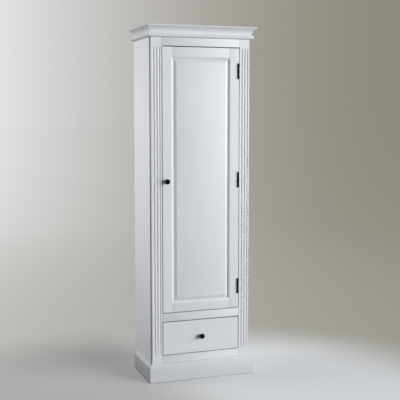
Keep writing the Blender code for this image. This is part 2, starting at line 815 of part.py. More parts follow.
def make_hinges(hinge_line, stile):
    edge = half_door - hinge_x
    door_leaf = leaf_mesh("door_leaf", edge - LEAF_THICKNESS, edge, 0)
    frame_leaf = leaf_mesh("frame_leaf", edge + SEAT_GAP, edge + REVEAL - SEAT_GAP, 1)
    for name, z in (
        ("lower", door_bottom + HINGE_FROM_END),
        ("middle", door_middle),
        ("upper", door_top - HINGE_FROM_END),
    ):
        spot = (hinge_x, hinge_y, z)
        add_part(f"hinge_{name}_frame_leaf", frame_leaf, IRON, spot)
        attach(add_part(f"hinge_{name}_door_leaf", door_leaf, IRON, spot), hinge_line)
        turned(f"hinge_{name}_pin", pin_profile(), IRON, spot, steps=SMALL_ROUND_STEPS)
        half = HINGE_HEIGHT / 2 + SEAT_GAP
        recess = box_cutter(
            f"hinge_recess_{name}",
            (half_door - LEAF_THICKNESS - SEAT_GAP, face_y - REVEAL, z - half),
            (half_door + REVEAL, face_y + LEAF_WIDTH + 2 * SEAT_GAP, z + half),
        )
        boolean(stile, recess)
        attach(recess, hinge_line)


def knob_profile():
    """Flattened round head, waisted neck and foot, with a hole up the middle for the screw."""
    head_centre = KNOB_HEIGHT - KNOB_HEAD_THICKNESS / 2
    head_radii = (KNOB_RADIUS, KNOB_HEAD_THICKNESS / 2)
    head = arc((0, head_centre), head_radii, 90, -KNOB_HEAD_UNDER, KNOB_HEAD_STEPS)
    waist = (head[-1][1] + KNOB_FOOT_HEIGHT) / 2
    hole = SCREW_RADIUS + SEAT_GAP
    return [
        (0, KNOB_HEIGHT),
        *head[1:],
        (KNOB_NECK_RADIUS, waist),
        (KNOB_FOOT_RADIUS, KNOB_FOOT_HEIGHT),
        (KNOB_FOOT_RADIUS, 0),
        (hole, 0),
        (hole, KNOB_HOLE_DEPTH),
        (0, KNOB_HOLE_DEPTH),
    ]


def screw_profile(grip):
    """Machine screw, measured from the knob's seat: tip in the knob, head behind the wood."""
    tip = KNOB_HOLE_DEPTH - 2 * SEAT_GAP
    under_head = -grip - SEAT_GAP
    chamfer = END_CHAMFER * SCREW_RADIUS
    return [
        (0, tip),
        (SCREW_RADIUS - chamfer, tip),
        (SCREW_RADIUS, tip - chamfer),
        (SCREW_RADIUS, under_head),
        (SCREW_HEAD_RADIUS, under_head),
        (SCREW_HEAD_RADIUS, under_head - SCREW_HEAD_HEIGHT / 2),
        (SCREW_HEAD_CROWN * SCREW_HEAD_RADIUS, under_head - SCREW_HEAD_HEIGHT),
        (0, under_head - SCREW_HEAD_HEIGHT),
    ]


def make_knob(prefix, x, z, held, carrier):
    """A knob on a front, its screw, and the hole for the screw through that front."""
    seat = (x, face_y - SEAT_GAP, z)
    attach(turned(f"{prefix}_knob", knob_profile(), IRON, seat, ALONG_Y), carrier)
    profile = screw_profile(FRONT_THICKNESS + SEAT_GAP)
    screw = turned(f"{prefix}_knob_screw", profile, ZINC, seat, ALONG_Y, SMALL_ROUND_STEPS)
    attach(screw, carrier)
    middle = (x, face_y + FRONT_THICKNESS / 2, z)
    depth = 2 * FRONT_THICKNESS
    hole = rod_cutter(f"{prefix}_knob_hole", SCREW_RADIUS + SEAT_GAP, depth, middle, ALONG_Y)
    boolean(held, hole)
    attach(hole, carrier)


def make_catch(hinge_line):
    """Magnet under the fixed shelf, and the steel plate on the door that it holds."""
    x = CATCH_FROM_EDGE - half_door
    width, depth, height = CATCH_SIZE
    plate_width, plate_thickness, plate_height = CATCH_PLATE_SIZE
    plate_y = front_back_y + SEAT_GAP
    magnet_y = plate_y + plate_thickness + SEAT_GAP
    top = shelf_levels()["fixed_shelf"] - SEAT_GAP
    board(
        "magnet_catch",
        (x - width / 2, magnet_y, top - height),
        (x + width / 2, magnet_y + depth, top),
        PLASTIC,
        broken=True,
    )
    middle = top - height / 2
    plate = board(
        "catch_plate",
        (x - plate_width / 2, plate_y, middle - plate_height / 2),
        (x + plate_width / 2, plate_y + plate_thickness, middle + plate_height / 2),
        ZINC,
    )
    attach(plate, hinge_line)


def make_drawer(slide_line):
    """Front, sides, back and floor. The floor slides in grooves of the sides and the front."""
    outer = half_door - DRAWER_SIDE_SET_IN
    inner = outer - DRAWER_SIDE_THICKNESS
    groove = inner + DRAWER_GROOVE_DEPTH
    box_y = inner_front_y
    rear_y = box_y + drawer_length
    side_low = bottom_rail_top + SEAT_GAP
    side_high = mid_rail_bottom - DRAWER_TOP_PLAY
    floor_low = drawer_bottom + DRAWER_FLOOR_LIFT
    floor_high = floor_low + DRAWER_FLOOR_THICKNESS
    front = board(
        "drawer_front",
        (-half_door, face_y, drawer_bottom),
        (half_door, front_back_y, drawer_top),
        PAINT,
        broken=True,
    )
    slot = box_cutter(
        "drawer_front_slot",
        (-groove, front_back_y - DRAWER_GROOVE_DEPTH, floor_low - SEAT_GAP),
        (groove, front_back_y + DRAWER_GROOVE_DEPTH, floor_high + SEAT_GAP),
    )
    boolean(front, slot)
    attach(slot, slide_line)
    attach(front, slide_line)
    for side_name, side in SIDES:
        outline = [
            (side * outer, side_low),
            (side * outer, side_high),
            (side * inner, side_high),
            (side * inner, floor_high + SEAT_GAP),
            (side * groove, floor_high + SEAT_GAP),
            (side * groove, floor_low - SEAT_GAP),
            (side * inner, floor_low - SEAT_GAP),
            (side * inner, side_low),
        ]
        name = f"drawer_side_{side_name}"
        mesh = section_mesh(name, outline, drawer_length)
        middle = (0, box_y + drawer_length / 2, 0)
        attach(add_part(name, mesh, PINE, middle, ALONG_Y), slide_line)
    back_x = inner - SEAT_GAP
    back = board(
        "drawer_back",
        (-back_x, rear_y - DRAWER_SIDE_THICKNESS, floor_high + SEAT_GAP),
        (back_x, rear_y, side_high - DRAWER_BACK_DROP),
        PINE,
    )
    floor = board(
        "drawer_bottom",
        (SEAT_GAP - groove, front_back_y - DRAWER_GROOVE_DEPTH + SEAT_GAP, floor_low),
        (groove - SEAT_GAP, rear_y, floor_high),
        PLY,
    )
    attach(back, slide_line)
    attach(floor, slide_line)
    make_knob("drawer", 0, (drawer_bottom + drawer_top) / 2, front, slide_line)
    make_runners(outer, rear_y)


def make_runners(drawer_outer, drawer_rear_y):
    """Stepped runners under and beside the drawer, with an end stop, and kickers over it."""
    guide = drawer_outer + DRAWER_PLAY
    bearing = guide - RUNNER_BEARING
    wall = side_inner - SEAT_GAP
    guide_top = bottom_rail_top + RUNNER_GUIDE_HEIGHT
    low = carcass_bottom + BOARD_THICKNESS + SEAT_GAP
    length = inner_back_y - SEAT_GAP - inner_front_y
    middle = (0, inner_front_y + length / 2, 0)
    for side_name, side in SIDES:
        outline = [
            (side * bearing, low),
            (side * wall, low),
            (side * wall, guide_top),
            (side * guide, guide_top),
            (side * guide, bottom_rail_top),
            (side * bearing, bottom_rail_top),
        ]
        name = f"drawer_runner_{side_name}"
        runner = add_part(name, section_mesh(name, outline, length), PINE, middle, ALONG_Y)
        near, far = sorted((side * bearing, side * (guide + wall) / 2))
        stop = box_cutter(
            f"runner_stop_{side_name}",
            (near, drawer_rear_y + SEAT_GAP, (low + bottom_rail_top) / 2),
            (far, inner_front_y + length, bottom_rail_top + RUNNER_STOP_HEIGHT),
        )
        boolean(runner, stop, "UNION")
        near, far = sorted((side * bearing, side * wall))
        board(
            f"drawer_kicker_{side_name}",
            (near, inner_front_y, mid_rail_bottom),
            (far, inner_front_y + length, mid_rail_top - BOARD_THICKNESS - SEAT_GAP),
            PINE,
        )


def main():
    clear_scene()
    hinge_line = add_carrier("door_hinge_line", (hinge_x, hinge_y, door_middle))
    slide_line = add_carrier("drawer_slide_line", (0, face_y, drawer_bottom))
    make_sides()
    make_boards()
    make_pegs()
    make_pilasters()
    make_rails()
    make_cornice()
    make_plinth()
    members = make_door_frame(hinge_line)
    make_door_panel(hinge_line)
    make_hinges(hinge_line, members["door_stile_right"])
    knob_x = DOOR_KNOB_FROM_EDGE - half_door
    make_knob("door", knob_x, door_middle, members["door_stile_left"], hinge_line)
    make_catch(hinge_line)
    make_drawer(slide_line)


main()
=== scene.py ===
import json
import math
import random

import bpy
from mathutils import Matrix, Vector


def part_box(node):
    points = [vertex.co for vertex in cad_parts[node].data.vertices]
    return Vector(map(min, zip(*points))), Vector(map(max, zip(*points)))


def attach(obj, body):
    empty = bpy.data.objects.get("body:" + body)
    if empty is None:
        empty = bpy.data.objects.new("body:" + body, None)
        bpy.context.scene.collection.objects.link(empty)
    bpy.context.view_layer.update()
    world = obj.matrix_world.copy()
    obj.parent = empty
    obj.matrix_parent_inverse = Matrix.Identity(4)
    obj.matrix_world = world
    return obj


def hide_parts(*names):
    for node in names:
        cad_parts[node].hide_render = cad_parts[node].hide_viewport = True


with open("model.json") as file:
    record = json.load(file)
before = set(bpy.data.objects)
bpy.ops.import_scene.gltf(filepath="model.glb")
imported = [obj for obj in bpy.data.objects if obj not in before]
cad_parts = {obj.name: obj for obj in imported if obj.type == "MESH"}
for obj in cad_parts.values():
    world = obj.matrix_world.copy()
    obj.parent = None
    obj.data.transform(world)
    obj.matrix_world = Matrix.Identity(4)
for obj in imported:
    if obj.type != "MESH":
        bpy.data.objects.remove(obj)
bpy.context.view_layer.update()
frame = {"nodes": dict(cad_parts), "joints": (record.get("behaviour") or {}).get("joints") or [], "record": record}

nodes = frame["nodes"]
slotOf = {part["node"]: part["material_slot"] for part in frame["record"]["subparts"]}
bodyOf = {}
for body, members in frame["record"]["behaviour"]["bodies"].items():
    for member in members:
        bodyOf[member] = body
print("frame loaded:", len(nodes), "nodes")


# Shader maths

wear = {"samples": 6, "full": 0.25}                     # 1 less the cosine of a corner's turn
hollowShading = {"samples": 8, "starts": 0.44, "full": 0.1}      # how open a spot is where painted shade darkens it


class Reading:
    # a value on its way through a finish: each sum with it adds a Math node
    def __init__(self, bench, socket):
        self.bench = bench
        self.socket = socket

    def math(self, operation, first, second):
        return self.bench.node("ShaderNodeMath", {"operation": operation}, {0: first, 1: second})

    def __add__(self, other):
        return self.math("ADD", self, other)

    __radd__ = __add__

    def __sub__(self, other):
        return self.math("SUBTRACT", self, other)

    def __rsub__(self, other):
        return self.math("SUBTRACT", other, self)

    def __mul__(self, other):
        return self.math("MULTIPLY", self, other)

    __rmul__ = __mul__

    def orMore(self, other):
        return self.math("MAXIMUM", self, other)


class Bench:
    # the nodes of one material or of the world
    def __init__(self, tree):
        self.tree = tree
        tree.nodes.clear()

    def node(self, kind, settings=None, sockets=None, out=0):
        made = self.tree.nodes.new(kind)
        for name, value in (settings or {}).items():
            setattr(made, name, value)
        for name, value in (sockets or {}).items():
            socket = made.inputs[name]
            if isinstance(value, Reading):
                self.tree.links.new(value.socket, socket)
            elif socket.type == "RGBA":
                socket.default_value = (*value, 1.0)
            else:
                socket.default_value = value
        return None if out is None else Reading(self, made.outputs[out])

    def place(self, scale=(1, 1, 1), shift=(0, 0, 0)):
        # the point on the piece, in metres, stretched by a scale
        point = self.node("ShaderNodeTexCoord", out="Object")
        sockets = {"Vector": point, "Scale": scale, "Location": shift}
        return self.node("ShaderNodeMapping", None, sockets, "Vector")

    def noise(self, scale, detail=2.0, roughness=0.5, distortion=0.0, shift=(0, 0, 0)):
        # scale is in features per metre along X, Y and Z
        sockets = {
            "Vector": self.place(scale, shift),
            "Scale": 1.0,
            "Detail": detail,
            "Roughness": roughness,
            "Distortion": distortion,
        }
        return self.node("ShaderNodeTexNoise", None, sockets, "Fac")

    def ramp(self, value, low, high, start=0.0, end=1.0):
        # runs smoothly from start to end as the value goes from low to high
        sockets = {"Value": value, "From Min": low, "From Max": high, "To Min": start, "To Max": end}
        return self.node("ShaderNodeMapRange", {"interpolation_type": "SMOOTHSTEP"}, sockets)

    def blend(self, share, first, second):
        # colours go through Mix: 0 is its factor, 6 and 7 its colours, and 2 its colour out
        return self.node("ShaderNodeMix", {"data_type": "RGBA"}, {0: share, 6: first, 7: second}, 2)

    def spread(self, noise, start=0.0, end=1.0):
        # most of a noise lies between these two levels
        return self.ramp(noise, 0.3, 0.7, start, end)

    def split(self, point, letters):
        # a point's coordinates, by their letters
        return [self.node("ShaderNodeSeparateXYZ", None, {0: point}, letter) for letter in letters]

    def edges(self, reach):
        # near 1 on edges and corners, 0 on flat stretches
        rounded = self.node("ShaderNodeBevel", {"samples": wear["samples"]}, {"Radius": reach})
        flat = self.node("ShaderNodeNewGeometry", out="Normal")
        settings = {"operation": "DOT_PRODUCT"}
        alike = self.node("ShaderNodeVectorMath", settings, {0: rounded, 1: flat}, "Value")
        return self.ramp(1 - alike, 0.0, wear["full"])

    def openness(self, reach):
        # 1 in the open, less where other surfaces close in within reach
        settings = {"samples": hollowShading["samples"]}
        return self.node("ShaderNodeAmbientOcclusion", settings, {"Distance": reach}, "AO")

    def paintedHollowShadeMask(self, reach):
        # painted shade: near 1 in gaps and joints, 0 in the open
        return self.ramp(self.openness(reach), hollowShading["starts"], hollowShading["full"])

    def bump(self, height, depth, under=None):
        sockets = {"Height": height, "Distance": depth, "Strength": 1.0}
        if under:
            sockets["Normal"] = under
        return self.node("ShaderNodeBump", None, sockets, "Normal")

    def surface(self, **sockets):
        named = {name.replace("_", " "): value for name, value in sockets.items()}
        shader = self.node("ShaderNodeBsdfPrincipled", None, named)
        self.node("ShaderNodeOutputMaterial", None, {"Surface": shader}, None)


def newFinish(name):
    material = bpy.data.materials.new(name)
    material.use_nodes = True
    return material, Bench(material.node_tree)


def alongGrain(across, along, axis):
    # a scale with many features across the grain and few along it
    return tuple(along if letter == axis else across for letter in "xyz")


def weigh(first, second, share):
    # the two in one, the second by its share
    return first * (1 - share) + second * share


paintLook = {
    "body": (0.755, 0.765, 0.79),
    "light": (0.79, 0.80, 0.82),
    "toneRange": (0.38, 0.62),          # where body goes over into light
    "cloud": (3.2, 3.2, 2.1),           # drifts of tone, per metre
    "strokeShare": 0.3,                 # how much of the tone follows the brush
    "thin": (0.70, 0.685, 0.66),        # where edges are handled
    "thinShare": 0.55,
    "thinPatch": (70, 70, 45),
    "thinRange": (0.42, 0.66),
    "thinGloss": 0.08,
    "edgeReach": 0.0016,
    "paintedHollowShade": (0.06, 0.06, 0.064),       # painted shade in joints and gaps
    "paintedHollowShadeReach": 0.016,
    "paintedLowShade": (0.40, 0.40, 0.41),      # painted shade near the floor, a guess, which brings the plinth to the photograph's tone
    "paintedLowShadeHeight": (0.104, 0.086),      # metres above the floor: none of it, and its full share
    "paintedLowShadeShare": 0.24,
    "brushMark": (900, 11),             # per metre, across and along
    "brushStroke": (150, 3.5),
    "grain": (330, 7),
    "grainShift": (3.1, 1.7, 0.4),
    "markDepth": 0.00005,
    "grainDepth": 0.00007,
    "roughness": (0.34, 0.50),
    "markShare": 0.4,                   # how much of the gloss follows single bristles
}


def makePaint(axis):
    look = paintLook
    material, bench = newFinish(f"painted_wood_{axis}")
    marks = bench.noise(alongGrain(*look["brushMark"], axis), 3.0, 0.6)
    strokes = bench.noise(alongGrain(*look["brushStroke"], axis), 2.0, 0.5, 0.4)
    grain = bench.noise(alongGrain(*look["grain"], axis), 3.0, 0.65, 0.9, look["grainShift"])
    clouds = bench.noise(look["cloud"], 3.0, 0.55)
    patches = bench.ramp(bench.noise(look["thinPatch"], 4.0, 0.6), *look["thinRange"])
    rubbed = bench.edges(look["edgeReach"]) * patches
    tone = bench.ramp(weigh(clouds, strokes, look["strokeShare"]), *look["toneRange"])
    colour = bench.blend(tone, look["body"], look["light"])
    colour = bench.blend(rubbed * look["thinShare"], colour, look["thin"])
    # painted shade: the paint turns darker towards the floor
    height = bench.split(bench.place(), "Z")[0]
    paintedLowShading = bench.ramp(height, *look["paintedLowShadeHeight"], 0.0, look["paintedLowShadeShare"])
    colour = bench.blend(paintedLowShading, colour, look["paintedLowShade"])
    # painted shade in joints, gaps and hollows, darker where little is open
    colour = bench.blend(bench.paintedHollowShadeMask(look["paintedHollowShadeReach"]), colour, look["paintedHollowShade"])
    gloss = bench.spread(weigh(strokes, marks, look["markShare"]), *look["roughness"])
    gloss = gloss + rubbed * look["thinGloss"]
    normal = bench.bump(grain, look["grainDepth"])
    normal = bench.bump(marks, look["markDepth"], normal)
    bench.surface(Base_Color=colour, Roughness=gloss, Normal=normal, IOR=1.47)
    return material


pineLook = {
    "early": (0.68, 0.49, 0.29),
    "late": (0.47, 0.285, 0.135),
    "lateRange": (0.45, 0.98),
    "lateShare": 0.62,
    "fibreShare": 0.16,
    "pale": (0.76, 0.58, 0.38),
    "paleRange": (0.35, 0.7),
    "paleShare": 0.25,
    "cloud": (9, 2),
    "handled": (0.55, 0.37, 0.2),
    "handledShare": 0.3,
    "edgeReach": 0.0012,
    "rings": 62,                        # rings follow the wave's own scale
    "ringBend": 5.0,
    "pith": (0.31, 0.27, 0.17),         # the boards are sawn this far off the heart
    "taper": 0.06,                      # how little the rings change along a board
    "fibre": (1100, 14),
    "fibreDepth": 0.00006,
    "ringDepth": 0.00008,
    "roughness": (0.66, 0.52),          # of early and of late wood
    "glossRange": (0.4, 0.9),
    "ringGloss": 0.3,
}


def makePine(axis):
    look = pineLook
    material, bench = newFinish(f"planed_pine_{axis}")
    settings = {"wave_type": "RINGS", "rings_direction": axis.upper(), "wave_profile": "SIN"}
    sockets = {
        "Vector": bench.place(alongGrain(1, look["taper"], axis), look["pith"]),
        "Scale": look["rings"],
        "Distortion": look["ringBend"],
        "Detail": 2.0,
        "Detail Scale": 0.35,
        "Detail Roughness": 0.5,
    }
    rings = bench.node("ShaderNodeTexWave", settings, sockets, "Fac")
    fibre = bench.noise(alongGrain(*look["fibre"], axis), 3.0, 0.6)
    clouds = bench.noise(alongGrain(*look["cloud"], axis), 2.0)
    late = bench.ramp(rings, *look["lateRange"]) * look["lateShare"] + fibre * look["fibreShare"]
    colour = bench.blend(late, look["early"], look["late"])
    pale = bench.ramp(clouds, *look["paleRange"], 0.0, look["paleShare"])
    colour = bench.blend(pale, colour, look["pale"])
    handled = bench.edges(look["edgeReach"]) * look["handledShare"]
    colour = bench.blend(handled, colour, look["handled"])
    gloss = bench.ramp(fibre + rings * look["ringGloss"], *look["glossRange"], *look["roughness"])
    normal = bench.bump(rings, look["ringDepth"])
    normal = bench.bump(fibre, look["fibreDepth"], normal)
    bench.surface(Base_Color=colour, Roughness=gloss, Normal=normal, IOR=1.5)
    return material


sheetLook = {
    "paint": (0.70, 0.705, 0.72),
    "veneer": (0.62, 0.56, 0.47),       # wood that shows through the single coat
    "bareRange": (0.5, 0.72),
    "bareDrift": (0.2, 0.75),
    "bareShare": 0.5,
    "figure": (46, 2.2),
    "pore": (700, 16),
    "poreShare": 0.4,
    "cloud": (5, 5, 5),
    "figureDepth": 0.0001,
    "poreDepth": 0.00006,
    "roughness": (0.5, 0.64),
}


def makeSheet():
    look = sheetLook
    material, bench = newFinish("thinly_painted_plywood")
    figure = bench.noise(alongGrain(*look["figure"], "z"), 3.0, 0.55, 1.6)
    pores = bench.noise(alongGrain(*look["pore"], "z"), 2.0, 0.6)
    drift = bench.spread(bench.noise(look["cloud"], 3.0, 0.6), *look["bareDrift"])
    bare = bench.ramp(weigh(figure, pores, look["poreShare"]), *look["bareRange"]) * drift
    colour = bench.blend(bare * look["bareShare"], look["paint"], look["veneer"])
    gloss = bench.spread(figure, *look["roughness"])
    normal = bench.bump(figure, look["figureDepth"])
    normal = bench.bump(pores, look["poreDepth"], normal)
    bench.surface(Base_Color=colour, Roughness=gloss, Normal=normal, IOR=1.5)
    return material


lacquerLook = {
    "black": (0.002, 0.0022, 0.003),
    "dusty": (0.004, 0.0045, 0.0055),
    "cloud": (60, 60, 60),
    "worn": (0.08, 0.077, 0.074),
    "wornShare": 0.3,
    "wornPatch": (420, 420, 420),
    "wornRange": (0.52, 0.68),
    "wornGloss": 0.1,
    "edgeReach": 0.0007,
    "peel": (850, 850, 850),            # the fine dimples of a sprayed coat
    "peelDepth": 0.00002,
    "roughness": (0.4, 0.54),
}


def makeLacquer():
    look = lacquerLook
    material, bench = newFinish("black_lacquered_iron")
    peel = bench.noise(look["peel"], 2.0)
    clouds = bench.noise(look["cloud"], 3.0, 0.6)
    patches = bench.ramp(bench.noise(look["wornPatch"], 3.0, 0.6), *look["wornRange"])
    worn = bench.edges(look["edgeReach"]) * patches
    colour = bench.blend(clouds, look["black"], look["dusty"])
    bared = worn * look["wornShare"]
    colour = bench.blend(bared, colour, look["worn"])
    gloss = bench.spread(clouds, *look["roughness"]) + worn * look["wornGloss"]
    normal = bench.bump(peel, look["peelDepth"])
    bench.surface(Base_Color=colour, Roughness=gloss, Metallic=bared, Normal=normal, IOR=1.2)
    return material


platedLook = {
    "brush": (260, 2600, 2600),
    "brushDepth": 0.00001,
    "spangle": (190, 190, 190),
    "rubbed": (0.78, 0.78, 0.79),
    "rubbedShare": 0.4,
    "edgeReach": 0.0005,
    "glossier": 0.07,                   # how far roughness swings down
    "duller": 0.1,                      # and up
}


def makePlated(name, shade, dark, roughness):
    look = platedLook
    material, bench = newFinish(name)
    brushed = bench.noise(look["brush"], 2.0, 0.6)
    spangle = bench.noise(look["spangle"], 3.0, 0.6)
    colour = bench.blend(spangle, dark, shade)
    rubbed = bench.edges(look["edgeReach"]) * look["rubbedShare"]
    colour = bench.blend(rubbed, colour, look["rubbed"])
    gloss = bench.spread(brushed, roughness - look["glossier"], roughness + look["duller"])
    normal = bench.bump(brushed, look["brushDepth"])
    bench.surface(Base_Color=colour, Roughness=gloss, Metallic=1.0, Normal=normal)
    return material


mouldedLook = {
    "dark": (0.66, 0.66, 0.63),
    "pale": (0.73, 0.73, 0.71),
    "flow": (40, 120, 120),             # streaks of the melt
    "rubbed": (0.8, 0.8, 0.78),
    "rubbedShare": 0.4,
    "edgeReach": 0.0006,
    "stipple": (1500, 1500, 1500),
    "stippleDepth": 0.00003,
    "roughness": (0.44, 0.58),
}


def makeMoulded():
    look = mouldedLook
    material, bench = newFinish("moulded_catch_body")
    stipple = bench.noise(look["stipple"], 2.0, 0.6)
    flow = bench.noise(look["flow"], 3.0)
    colour = bench.blend(flow, look["dark"], look["pale"])
    rubbed = bench.edges(look["edgeReach"]) * look["rubbedShare"]
    colour = bench.blend(rubbed, colour, look["rubbed"])
    gloss = bench.spread(stipple, *look["roughness"])
    bench.surface(Base_Color=colour, Roughness=gloss, Normal=bench.bump(stipple, look["stippleDepth"]))
    return material


paint = {axis: makePaint(axis) for axis in "xyz"}
pine = {axis: makePine(axis) for axis in "xyz"}
sheetWood = makeSheet()
lacquer = makeLacquer()
zinc = makePlated("zinc_plate", (0.66, 0.67, 0.69), (0.52, 0.53, 0.55), 0.33)
steel = makePlated("bare_steel_pole", (0.42, 0.42, 0.43), (0.3, 0.3, 0.31), 0.4)
moulded = makeMoulded()
print("finishes mixed")


# Modelling by hand, in code

def pickUp(*pieces):
    # only these are selected, the first one active, in object mode
    active = bpy.context.view_layer.objects.active
    if active and active.mode != "OBJECT":
        bpy.ops.object.mode_set(mode="OBJECT")
    bpy.ops.object.select_all(action="DESELECT")
    for piece in pieces:
        piece.select_set(True)
    bpy.context.view_layer.objects.active = pieces[0] if pieces else None


def openUp(piece, kind="VERT"):
    # into edit mode with everything selected
    pickUp(piece)
    bpy.ops.object.mode_set(mode="EDIT")
    bpy.ops.mesh.select_mode(type=kind)
    bpy.ops.mesh.select_all(action="SELECT")


def closeUp():
    bpy.ops.object.mode_set(mode="OBJECT")


def openOn(piece, wanted):
    # into edit mode with only the vertices selected whose place is wanted
    openUp(piece)
    bpy.ops.mesh.select_all(action="DESELECT")
    closeUp()
    for vertex in piece.data.vertices:
        vertex.select = wanted(vertex.co)
    bpy.ops.object.mode_set(mode="EDIT")


def takeNew(name):
    # the primitive just added becomes a piece with its place in its mesh
    piece = bpy.context.object
    piece.name = name
    piece.data.name = name
    bpy.ops.object.transform_apply(location=True, rotation=True, scale=True)
    return piece


def addBlock(name, low, high):
    pickUp()
    low, high = Vector(low), Vector(high)
    bpy.ops.mesh.primitive_cube_add(size=1, location=(low + high) / 2, scale=high - low)
    return takeNew(name)


def addRod(name, radius, depth, centre, axis, tipRadius=None, sides=32):
    # a cylinder or a cone along X, Y or Z; its tip looks up the axis
    pickUp()
    turn = {"x": (0, math.pi / 2, 0), "y": (-math.pi / 2, 0, 0), "z": (0, 0, 0)}[axis]
    bpy.ops.mesh.primitive_cone_add(
        vertices=sides,
        radius1=radius,
        radius2=radius if tipRadius is None else tipRadius,
        depth=depth,
        location=centre,
        rotation=turn,
    )
    return takeNew(name)


def work(piece, kind, **settings):
    # a modifier, applied at once
    pickUp(piece)
    modifier = piece.modifiers.new(kind.lower(), kind)
    for name, value in settings.items():
        setattr(modifier, name, value)
    bpy.ops.object.modifier_apply(modifier=modifier.name)


def cut(piece, *cutters, operation="DIFFERENCE"):
    for cutter in cutters:
        work(piece, "BOOLEAN", object=cutter, operation=operation, solver="EXACT")
        bpy.data.objects.remove(cutter)


def heal(piece):
    openUp(piece)
    bpy.ops.mesh.remove_doubles(threshold=0.00001)
    bpy.ops.mesh.normals_make_consistent(inside=False)
    closeUp()


def ease(piece, width, segments=3, fromAngle=30):
    # rounds every edge that turns by more than an angle
    work(
        piece,
        "BEVEL",
        width=width,
        segments=segments,
        limit_method="ANGLE",
        angle_limit=math.radians(fromAngle),
        miter_outer="MITER_ARC",
    )


def shade(piece, angle=12):
    # gentle curves look smooth, and flat faces stay flat
    pickUp(piece)
    bpy.ops.object.shade_smooth_by_angle(angle=math.radians(angle))


def drawLine(name, points, closed=False):
    # one vertex, drawn on from point to point
    points = [Vector(point) for point in points]
    pickUp()
    bpy.ops.mesh.primitive_plane_add(size=0.001, location=points[0])
    piece = takeNew(name)
    openUp(piece)
    bpy.ops.mesh.merge(type="CENTER")
    for start, end in zip(points, points[1:]):
        bpy.ops.mesh.extrude_vertices_move(TRANSFORM_OT_translate={"value": end - start})
    if closed:
        bpy.ops.mesh.select_all(action="SELECT")
        bpy.ops.mesh.edge_face_add()
    closeUp()
    return piece


def drawOut(name, points, step):
    # a flat outline drawn out into a solid bar
    piece = drawLine(name, points, closed=True)
    openUp(piece, "FACE")
    bpy.ops.mesh.extrude_region_move(TRANSFORM_OT_translate={"value": Vector(step)})
    closeUp()
    heal(piece)
    return piece


def spinUp(name, profile, centre, axis, sides=64):
    # (radius, height) pairs turned about an axis, as on a lathe
    centre, axis = Vector(centre), Vector(axis)
    outward = axis.orthogonal().normalized()
    points = [centre + outward * radius + axis * height for radius, height in profile]
    piece = drawLine(name, points)
    openUp(piece)
    bpy.ops.mesh.spin(steps=sides, angle=2 * math.pi, center=centre, axis=axis)
    closeUp()
    heal(piece)
    return piece


def sawOff(piece, point, outward):
    # cuts at a plane, drops what lies beyond it and closes the cut
    openUp(piece)
    bpy.ops.mesh.bisect(plane_co=point, plane_no=outward, use_fill=True, clear_outer=True)
    closeUp()


def arc(centre, radii, start, end, steps):
    points = []
    for i in range(steps + 1):
        angle = math.radians(start + (end - start) * i / steps)
        points.append((centre[0] + radii[0] * math.cos(angle), centre[1] + radii[1] * math.sin(angle)))
    return points


def repeat(master, name, matrix):
    # another one like it, with its own mesh
    again = bpy.data.objects.new(name, master.data.copy())
    bpy.context.scene.collection.objects.link(again)
    again.matrix_world = matrix
    pickUp(again)
    bpy.ops.object.transform_apply(location=True, rotation=True, scale=True)
    return again


def unite(name, parts):
    pickUp(*parts)
    bpy.ops.object.join()
    parts[0].name = name
    parts[0].data.name = name
    return parts[0]


def traceNode(node, ending):
    # the node's shape as a mesh of its own, its flat faces whole again
    pickUp()
    name = f"{node}_{ending}"
    piece = bpy.data.objects.new(name, nodes[node].data.copy())
    bpy.context.scene.collection.objects.link(piece)
    openUp(piece)
    bpy.ops.mesh.customdata_custom_splitnormals_clear()
    bpy.ops.mesh.remove_doubles(threshold=0.00001)
    bpy.ops.mesh.dissolve_limited(angle_limit=math.radians(0.3))
    closeUp()
    return piece


def dress(piece, finish, body, slot, *stoodFor):
    piece.data.materials.clear()
    piece.data.materials.append(finish)
    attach(piece, body)
    if stoodFor:
        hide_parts(*stoodFor)


def dressNode(piece, finish, node):
    dress(piece, finish, bodyOf[node], slotOf[node], node)


# Plain boards and frames: the frame's own shapes with rounded edges

easedBoards = {
    # node: (grain, rounding in metres)
    "side_panel_left": ("z", 0.0009),
    "side_panel_right": ("z", 0.0009),
    "top_board": ("x", 0.0012),
    "divider_board": ("x", 0.0006),
    "fixed_shelf": ("x", 0.0007),
    "shelf_lower": ("x", 0.0003),
    "shelf_upper": ("x", 0.0003),
    "frieze_rail": ("x", 0.0006),
    "mid_rail": ("x", 0.0006),
    "bottom_rail": ("x", 0.0006),
    "plinth_front": ("x", 0.0013),
    "plinth_left": ("y", 0.0013),
    "plinth_right": ("y", 0.0013),
    "plinth_back": ("x", 0.0007),
    "door_stile_left": ("z", 0.0005),
    "door_stile_right": ("z", 0.0005),
    "door_rail_top": ("x", 0.0005),
    "door_rail_bottom": ("x", 0.0005),
    "door_panel": ("z", 0.0004),
    "drawer_front": ("x", 0.0006),
}
planedBoards = {
    "bottom_board": ("x", 0.0005),
    "plinth_block_left": ("z", 0.0008),
    "plinth_block_right": ("z", 0.0008),
    "drawer_runner_left": ("y", 0.0007),
    "drawer_runner_right": ("y", 0.0007),
    "drawer_kicker_left": ("y", 0.0007),
    "drawer_kicker_right": ("y", 0.0007),
    "drawer_side_left": ("y", 0.0009),
    "drawer_side_right": ("y", 0.0009),
    "drawer_back": ("x", 0.0009),
}
planedOff = {
    # node: metres planed off its left, right, lower and upper edge, so that the joints show
    "door_stile_left": (0.0012, 0.0004, 0.0005, 0.0015),
    "door_stile_right": (0.0004, 0, 0.0005, 0.0015),
    "door_rail_top": (0.0004, 0.0004, 0, 0.0015),
    "door_rail_bottom": (0.0004, 0.0004, 0.0005, 0),
    "drawer_front": (0.0010, 0.0010, 0.0014, 0.0012),
    "frieze_rail": (0.0006, 0.0006, 0, 0),
    "mid_rail": (0.0006, 0.0006, 0, 0),
    "bottom_rail": (0.0006, 0.0006, 0, 0),
}


